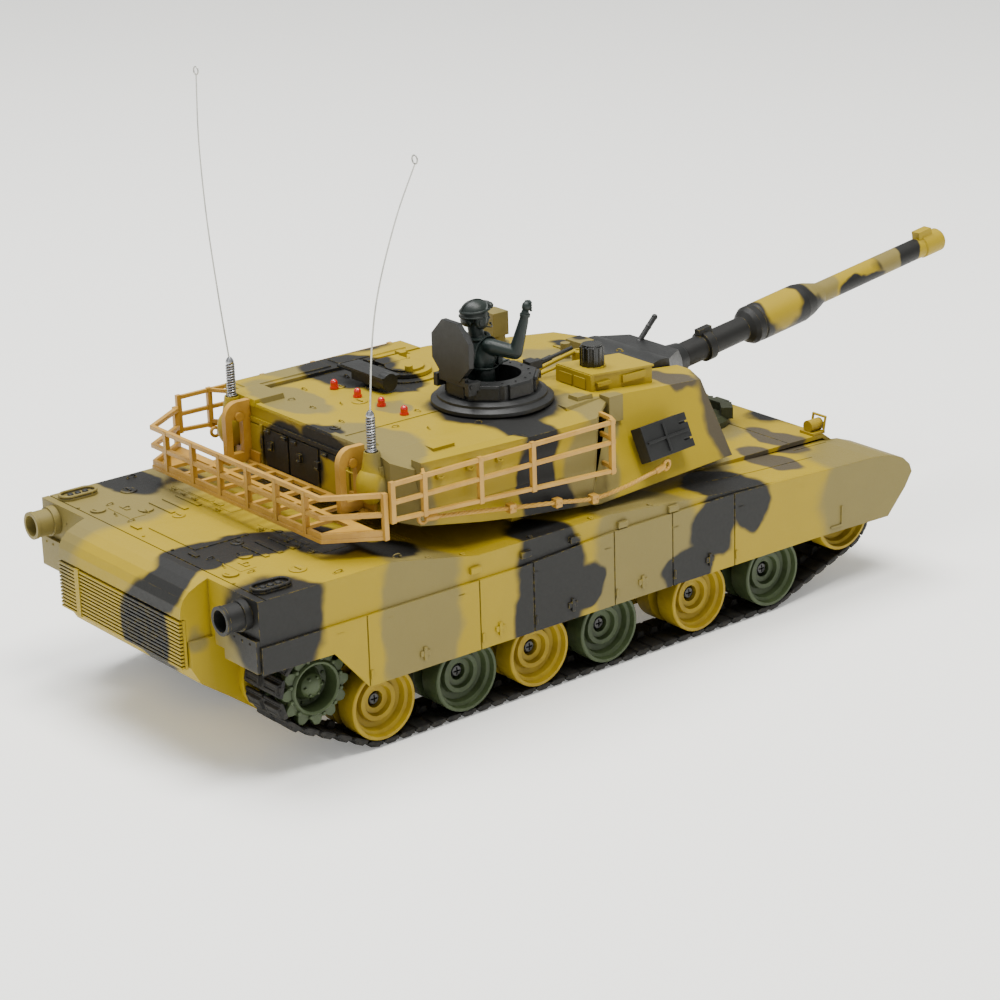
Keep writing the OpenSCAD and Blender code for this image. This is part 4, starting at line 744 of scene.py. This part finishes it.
def build_tracks():
    links = belt_links()
    for side, name in ((1, "left"), (-1, "right")):
        s = Shape()
        for y, z, angle in links:
            a = math.radians(angle)
            out = Vector((0, math.cos(a), math.sin(a)))
            along = Vector((0, -math.sin(a), math.cos(a)))
            turn = Matrix((
                (side, 0, 0, 0), (0, along.y, out.y, y), (0, along.z, out.z, z), (0, 0, 0, 1)))
            # local axes: X across, Y along the belt, Z outwards
            s.box(48.7, 71.2, -2.9, 2.9, 0.05, 1.55, turn)
            for x0, x1 in ((49.2, 58.9), (61.1, 70.8)):
                s.box(x0, x1, -2.35, 2.35, 1.5, 2.55, turn, 0.45)
                s.box(x0 + 1.1, x1 - 1.1, -1.9, -0.7, 2.4, 2.78, turn, 0.15)
                s.box(x0 + 1.1, x1 - 1.1, 0.7, 1.9, 2.4, 2.78, turn, 0.15)
                s.box(x0 + 0.4, x0 + 1.6, -2.0, 2.0, 2.4, 2.7, turn, 0.15)
                s.box(x1 - 1.6, x1 - 0.4, -2.0, 2.0, 2.4, 2.7, turn, 0.15)
            for x0, x1 in ((48.9, 59.4), (60.6, 71.3)):
                s.tube([(x0, 3.35, 0.85), (x1, 3.35, 0.85)], 0.62, 8, turn=turn)
            s.box(70.4, 71.3, -1.5, 1.5, 0.5, 2.1, turn, 0.3)
            s.box(48.65, 49.4, -1.5, 1.5, 0.5, 2.1, turn, 0.3)
            s.slab([(-2.1, 0.1), (-1.2, -2.5), (1.2, -2.5), (2.1, 0.1)], 59, 61, "X", turn)
        o = s.done(f"track_links_{name}", "hull", "rubber", "track_rubber", smooth=False)
        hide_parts(f"track_{name}")


build_tracks()


# ---------------------------------------------------------------- sprockets

SPROCKET_CENTRE = (138, 31.6)
TOOTH_COUNT = 12


def toothed_plate(s, side, low, high, hole):
    """Ring with rounded teeth between two X values, open in the middle."""
    steps = TOOTH_COUNT * 8
    cy, cz = SPROCKET_CENTRE
    loops = []
    for x, shrink in ((low, 0.0), (high - 0.25, 0.0), (high, 0.25)):
        ring = []
        for k in range(steps):
            t = math.tau * k / steps
            wave = max(0.0, min(1.0, 0.62 + 1.1 * math.cos(TOOTH_COUNT * t)))
            r = 12.3 + 2.4 * wave - shrink
            ring.append((side * x, cy + r * math.cos(t), cz + r * math.sin(t)))
        loops.append(ring)
    for x in (high, low):
        ring = []
        for k in range(steps):
            t = math.tau * k / steps
            ring.append((side * x, cy + hole * math.cos(t), cz + hole * math.sin(t)))
        loops.append(ring)
    verts = [v for ring in loops for v in ring]
    n = len(loops)
    faces = []
    for i in range(n):
        for k in range(steps):
            this, after = i * steps, (i + 1) % n * steps
            faces.append((this + k, this + (k + 1) % steps, after + (k + 1) % steps, after + k))
    s.mesh(verts, faces)


# Outlines of the drum and of its three rings of heads, as (radius, X)
DRUM = [(2.1, 49.2), (12, 49.2), (12, 53), (9.6, 54), (9.6, 61.4), (10.6, 62.6), (10.6, 69.9),
        (9.9, 70.7), (9.0, 70.3), (8.8, 63.6), (6.6, 62.8), (5.2, 64.6), (4.7, 67.2), (3.1, 68.6),
        (1.5, 69.0), (0, 69.0)]
RIM_NUT = [(0, 69.4), (0.95, 69.4), (0.95, 70.2), (0.7, 70.5), (0, 70.5)]
WEB_RIVET = [(0, 62.8), (0.6, 62.8), (0.6, 63.9), (0, 63.9)]
HUB_BOLT = [(0, 67.6), (0.55, 67.6), (0.55, 68.9), (0, 69.0)]


def build_sprockets():
    cy, cz = SPROCKET_CENTRE
    for side, name in ((1, "left"), (-1, "right")):
        s = Shape()

        def turned(outline, away, angle, sides):
            """Lathe along X, its centre away from the sprocket's at an angle."""
            y, z = cy + away * math.cos(angle), cz + away * math.sin(angle)
            s.lathe([(r, side * x) for r, x in outline], (0, y, z), "X", sides)

        toothed_plate(s, side, 50.4, 53.2, 9)
        toothed_plate(s, side, 66.8, 69.6, 9.4)
        turned(DRUM, 0, 0, 72)
        for k in range(TOOTH_COUNT):
            t = math.tau * (k + 0.5) / TOOTH_COUNT
            turned(RIM_NUT, 11.3, t, 6)
            turned(WEB_RIVET, 7.7, t, 8)
        for k in range(6):
            turned(HUB_BOLT, 3.5, math.tau * k / 6, 6)
        o = s.done(f"sprocket_disc_{name}", f"sprocket_{name}", "green_paint", "green_plastic", bevel=0.12)
        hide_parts(f"sprocket_{name}")


build_sprockets()


# ---------------------------------------------------------------- hull and turret fittings

def clip(s, x, y, z, angle=0.0, size=1.0):
    """Small two-legged loop for lashing."""
    turn = Matrix.Translation((x, y, z)) @ Matrix.Rotation(math.radians(angle), 4, "Z")
    a = size
    s.tube([(-1.5 * a, 0, -0.2), (-1.5 * a, 0, 0.65 * a), (-0.9 * a, 0, 1.0 * a), (0.9 * a, 0, 1.0 * a),
            (1.5 * a, 0, 0.65 * a), (1.5 * a, 0, -0.2)], 0.3 * a, 6, turn=turn)
    for t in (-1.5, 1.5):
        s.box((t - 0.6) * a, (t + 0.6) * a, -0.6 * a, 0.6 * a, -0.2, 0.3, turn, 0.1)


def hinge(s, x, y, z, angle=0.0, size=1.0):
    """Leaf pair with a knuckle."""
    turn = Matrix.Translation((x, y, z)) @ Matrix.Rotation(math.radians(angle), 4, "Z")
    a = size
    s.box(-1.3 * a, 1.3 * a, -1.7 * a, 1.7 * a, -0.2, 0.35 * a, turn, 0.12)
    s.tube([(-1.5 * a, 0, 0.45 * a), (1.5 * a, 0, 0.45 * a)], 0.42 * a, 8, turn=turn)
    for t in (-1.1, 1.1):
        s.lathe([(0, 0), (0.3 * a, 0), (0.3 * a, 0.55 * a), (0, 0.6 * a)], (0, t * a, 0), "Z", 8, turn=turn)


def cap(s, x, y, z, r):
    """Round filler cap with a grip bar."""
    outline = [(0, -0.3), (r, -0.3), (r, 0.35), (r - 0.35, 0.6), (r - 0.8, 0.6), (r - 1.0, 0.4), (0, 0.45)]
    s.lathe(outline, (x, y, z), "Z", 28)
    s.box(x - r * 0.55, x + r * 0.55, y - 0.3, y + 0.3, z + 0.2, z + 0.9)


def panel(s, x0, x1, y0, y1, z, t):
    """Raised thin lid with a rim."""
    s.box(x0, x1, y0, y1, z - 0.2, z + t, inset=0.15)


def bolt(s, x, y, z, r=0.55, axis="Z", high=0.45):
    """Small round head."""
    s.lathe([(0, -0.2), (r, -0.2), (r * 0.9, high), (0, high)], (x, y, z), axis, 8)


ENGINE_DECK_Z = 73.3
DECK_LOOPS = [(46, 157.5, 20), (37.4, 153.4, -15), (41, 146.4, 90), (31.8, 143, 0),
              (27.4, 152.6, 90), (48.8, 149, 90)]
# Fender hinges as (Y, Z)
FENDER_HINGES = [(88, 70.0), (72, 67.0), (40, 65.8), (10, 65.8), (-20, 63.8)]


def build_hull_fittings():
    s = Shape()
    z = ENGINE_DECK_Z
    for side in (1, -1):
        for x, y, t in DECK_LOOPS:
            clip(s, side * x, y, z, t, 0.85)
        panel(s, *sorted((side * 29.5, side * 46)), 144.6, 151.8, z, 0.28)
        for x, y in ((14.7, 121.7), (31.4, 122), (39.2, 122), (47, 121.2)):
            hinge(s, side * x, y, z, 0, 0.95)
        panel(s, *sorted((side * 9, side * 51)), 107.4, 119.6, z, 0.25)
        cap(s, side * 58, 135, z, 3.4)
        cap(s, side * 20, 136, z, 2.6)
        bolt(s, side * 10, 158, z, 0.7)
        bolt(s, side * 54, 160, z, 0.7)
        # loops and hinges along the fender's edge
        clip(s, side * 70.5, 126, z, 90, 1.1)
        clip(s, side * 70.5, 100, 72.6, 90, 1.0)
        for y, top in FENDER_HINGES:
            hinge(s, side * 73.2, y, top, 90, 0.7)
        # skirt catches at the panel seams
        for y in (93, 57.5, 22, -13.5, -49):
            s.box(*sorted((side * 75.9, side * 76.55)), y - 2.2, y + 2.2, 33.2, 35.4)
            s.box(*sorted((side * 75.9, side * 76.75)), y - 0.7, y + 0.7, 31.6, 36.8)
        # bolts and tabs along the skirt's top edge
        for y in (130, 108, 75, 40, 4, -31, -66, -100):
            bolt(s, side * (75.4 if side > 0 else 75.6), y, 53.6, 0.6, "X", 0.45)
            s.box(*sorted((side * 75.2, side * 76.0)), y - 1.6, y + 1.6, 52.2, 52.9)
        # rivets on the rear plates
        for k in range(5):
            bolt(s, side * (58 + 3.4 * k), 164.1, 55, 0.5, "Y", 0.5)
        for k in range(4):
            bolt(s, side * 57, 164.1, 57 + 3.4 * k, 0.45, "Y", 0.5)
    # bar grilles under the bustle
    for x0, x1 in ((-50, -30), (-26, 26), (30, 50)):
        for k in range(5):
            s.box(x0, x1, 78 + 2.6 * k, 79.2 + 2.6 * k, 66, 68.4 + 0.46 * k, inset=0.2)
    s.done("hull_fittings", "hull", "hull_paint", "hull_plastic", bevel=0.1)

    # tail lamps
    t = Shape()
    g = Shape()
    for side in (1, -1):
        x, y0, y1 = side * 66.6, 148.6, 156.8
        loop = arc((x, y1, z + 1.6), 3.6, 0, 180, 10) + arc((x, y0, z + 1.6), 3.6, 180, 360, 10)
        base = [(p[0], p[1]) for p in arc((x, y1, 0), 4.1, 0, 180, 12) + arc((x, y0, 0), 4.1, 180, 360, 12)]
        t.slab(base, z - 0.1, z + 0.8, "Z")
        t.tube(loop, 0.62, 8, closed=True)
        for q in (loop[0], loop[10], loop[11], loop[-1], loop[5], loop[16]):
            t.tube([(q[0], q[1], z), q], 0.55, 8)
        for y in (149.4, 152.7, 156):
            g.lathe([(0, 0.5), (1.35, 0.5), (1.35, 1.3), (1.0, 1.75), (0, 1.95)], (x, y, z), "Z", 20)
            t.lathe([(1.35, 0.6), (1.75, 0.6), (1.75, 1.25), (1.35, 1.25)], (x, y, z), "Z", 20)
    o = t.done("tail_light_guards", "hull", "hull_paint", "khaki_plastic", bevel=0.08)
    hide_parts("tail_lights")
    g.done("tail_light_lenses", "hull", "dark_paint", "dark_plastic")


build_hull_fittings()


ROOF_Z = 104.0
ROOF_LOOPS = [(36.8, 64.3, 10), (29.2, 75.6, 60), (14.2, 76, 20), (10.6, 65, -20), (-7.7, 78, 10),
              (-26.3, 66.2, 70), (-17.3, 48.9, 20), (17.4, 46, 0), (-37.6, 84, 15), (-36.7, 58.2, -20),
              (39.2, 42, 0), (-44, 40, 60), (2, 8, 0), (6, -20, 30), (30, -30, 0), (-10, -60, 20)]
ROOF_CAPS = [(8, 58, 3.2), (30, 52, 2.4), (-12, 84, 2.2), (44, 10, 2.6), (20, -14, 2.4)]
CUPOLA_X, CUPOLA_Y = -26, 19


def roof_height(x, y):
    """Height of the roof, which has a slightly raised panel at its rear."""
    return ROOF_Z + (0.25 if abs(x) < 22 and 34 < y < 90 else 0)


def build_turret_fittings():
    s = Shape()
    z = ROOF_Z
    for x, y, t in ROOF_LOOPS:
        clip(s, x, y, roof_height(x, y), t, 0.8)
    for x, y, r in ROOF_CAPS:
        cap(s, x, y, roof_height(x, y), r)
    # strips and lids along the roof's rear and left edges
    s.box(-34, 33, 87.6, 90.4, z - 0.4, z + 0.9, inset=0.25)
    s.box(33, 51, 76, 90.6, z - 0.5, z + 2.2, inset=0.5)
    s.box(52, 62, 40, 82, z + 0.4, z + 1.5, inset=0.4)
    s.box(52.6, 61.4, 2, 36, z + 0.4, z + 1.3, inset=0.4)
    # rear face ribs, ledges, lids with catches
    for x in (50, 28.7):
        s.box(x - 0.7, x + 0.7, 89.6, 91.2, 78.6, 97.6, inset=0)
        for k in range(8):
            bolt(s, x, 91.1, 80 + 2.4 * k, 0.34, "Y", 0.35)
    s.box(-27, 49.5, 89.6, 90.7, 97.4, 99.2)
    for x0, x1 in ((30.2, 48.8), (11.4, 27.4), (-9, 10), (-29, -10.6)):
        s.box(x0, x1, 89.7, 90.6, 80.6, 96.6)
    for x in (22.3, 2.8, -9.2, -24):
        s.box(x - 1.2, x + 1.2, 90.2, 91.8, 88.4, 91.8)
        s.tube([(x - 1, 91.9, 89), (x + 1, 91.9, 89)], 0.35, 6)
    for x in (24.8, 13.3, 6.4, -14):
        hinge_turn = Matrix.Translation((x, 90.6, 95.6)) @ Matrix.Rotation(math.radians(-90), 4, "X")
        s.box(-1.4, 1.4, -1, 1, 0, 0.5, hinge_turn)
        s.tube([(-1.6, 0, 0.6), (1.6, 0, 0.6)], 0.4, 8, turn=hinge_turn)
    s.tube([(-30, 91, 93.6), (-30, 92.2, 93.6), (-36, 92.2, 93.6), (-36, 91, 93.6)], 0.4, 6)
    # antenna base fairings: squashed pods with a step
    pod = [(0, 98), (4.2, 98), (3.6, 101), (2.9, 104), (2.6, 105.4), (0, 105.4)]
    for side in (1, -1):
        x = side * ANTENNA_X
        s.ball((x, 93.2, 92.4), (6.0, 5.4, 7.4), detail=4)
        s.lathe(pod, (x, ANTENNA_Y, 0), "Z", 28)
        s.box(x - 4.6, x + 4.6, 86, 91, 84.5, 99)
        # catches on the side bins
        catch = [(side * 0.9, -1.3, -1.6), (side * 1.5, 0, -2.0), (side * 0.9, 1.3, -1.6)]
        for y in (76, 62, 48):
            turn = Matrix.Translation((side * 66.3, y, 98.4))
            s.box(-0.9, 0.9, -1.6, 1.6, -2.4, 1.4, turn)
            s.tube(catch, 0.35, 6, turn=turn)
    # boxes, pipes and a short post in front of the cupola
    s.box(-50, -44, -12, -4, z - 0.4, z + 1.6, inset=0.3)
    s.box(8, 18, -62, -54, z - 4, z + 0.5, inset=0.3)
    s.tube([(-14, -2, z + 0.8), (-12.6, -24, z + 4.2), (-13.4, -33, z + 6.2)], 0.9, 10)
    s.tube([(-17, 0, z + 0.4), (-16.4, -24, z + 3.2)], 0.7, 10)
    post = [(0, 0), (2.4, 0), (2.4, 6.4), (1.9, 7), (0.9, 7), (0.9, 5), (0, 5)]
    s.lathe(post, (-13.2, -35, z - 0.5), "Z", 20)
    # sight box hood and doors
    s.box(-41.9, -20.4, -19.4, -17.6, 102.4, 109.6)
    s.box(-38.8, -31.8, -18.2, -17.2, 103.4, 107.8).box(-30.6, -23, -18.2, -17.2, 103.4, 107.8)
    s.box(-42.2, -41.0, -46, -34, 103.2, 106.2)
    s.done("turret_fittings", "turret", "turret_paint", "hull_plastic", bevel=0.12)

    c = Shape()
    # cupola periscopes, then the heads on its race ring and rim
    # the front periscope is left out, because the commander's gun swings through its place
    for k in range(1, 8):
        turn = (Matrix.Translation((CUPOLA_X, CUPOLA_Y, 109.3))
                @ Matrix.Rotation(math.radians(45 * k), 4, "Z"))
        c.box(-5.0, 5.0, -17.8, -15.9, 0.3, 5.4, turn)
        c.box(-5.3, 5.3, -18.4, -16.8, 5.0, 6.2, turn, 0.3)
    for count, away, top, r, high in ((36, 22.9, 106.1, 0.42, 0.4), (16, 14.9, 115.3, 0.5, 0.35)):
        for k in range(count):
            t = math.tau * k / count
            bolt(c, CUPOLA_X + away * math.cos(t), CUPOLA_Y + away * math.sin(t), top, r, "Z", high)
    c.done("cupola_periscopes", "cupola", "dark_paint", "dark_plastic", bevel=0.12)


build_turret_fittings()


# ---------------------------------------------------------------- stage

FLOOR_HALF_SIDE = 14.0
FLOOR_DROP = 0.0002
FLOOR_GLOW = 0.2
WORLD_STRENGTH = 0.55
LIGHT_AIM = (0, 0, 0.06)
# name, place, size, power, colour
LIGHTS = [
    ("key", (-0.6, -0.1, 1.8), 0.7, 34, (1, 0.98, 0.94)),
    ("fill", (-0.6, 1.6, 1.0), 1.4, 4, (1, 1, 1)),
    ("top", (0.5, 0.2, 1.9), 1.1, 50, (1, 1, 1)),
]


def paper():
    """Pale matt paper with a faint glow and slow mottling."""
    m, g = blank_material("paper")
    f = g.noise(g.add("ShaderNodeTexCoord").outputs["Object"], 3.0, 2.0)
    shader = g.add("ShaderNodeBsdfPrincipled", {
        "Base Color": g.mix(f, (0.97, 0.97, 0.94, 1), (0.95, 0.95, 0.92, 1)), "Roughness": 0.85,
        "Emission Color": (1, 1, 0.97, 1), "Emission Strength": FLOOR_GLOW})
    g.add("ShaderNodeOutputMaterial", {"Surface": shader.outputs[0]})
    return m


def build_stage():
    bm = bmesh.new()
    bmesh.ops.create_grid(bm, x_segments=8, y_segments=8, size=FLOOR_HALF_SIDE)
    mesh = bpy.data.meshes.new("floor")
    bm.to_mesh(mesh)
    bm.free()
    floor = bpy.data.objects.new("floor", mesh)
    floor.location = (0, 0, -FLOOR_DROP)
    mesh.materials.append(paper())
    scene.collection.objects.link(floor)

    world = bpy.data.worlds.new("studio")
    world.use_nodes = True
    background = world.node_tree.nodes["Background"]
    background.inputs["Color"].default_value = (1.0, 1.0, 0.97, 1)
    background.inputs["Strength"].default_value = WORLD_STRENGTH
    scene.world = world

    for name, place, size, power, colour in LIGHTS:
        light = bpy.data.lights.new(name, "AREA")
        light.size = size
        light.energy = power
        light.color = colour
        o = bpy.data.objects.new(name, light)
        o.location = place
        o.rotation_mode = "QUATERNION"
        o.rotation_quaternion = (Vector(LIGHT_AIM) - Vector(place)).to_track_quat("-Z", "Y")
        scene.collection.objects.link(o)


CAMERA_PLACE = (-0.8694, 0.6729, 0.4454)
CAMERA_AIM = (0.0, -0.0034, 0.0506)
CAMERA_ROLL = -1.8
SENSOR_WIDTH = 36
LENS = 103.75


def build_camera():
    data = bpy.data.cameras.new("camera")
    data.sensor_width = SENSOR_WIDTH
    data.lens = LENS
    data.clip_start = 0.05
    cam = bpy.data.objects.new("camera", data)
    cam.location = CAMERA_PLACE
    cam.rotation_mode = "QUATERNION"
    aim = (Vector(CAMERA_AIM) - Vector(CAMERA_PLACE)).to_track_quat("-Z", "Y")
    cam.rotation_quaternion = aim @ Quaternion((0, 0, 1), math.radians(CAMERA_ROLL))
    scene.collection.objects.link(cam)
    scene.camera = cam


build_stage()
build_camera()
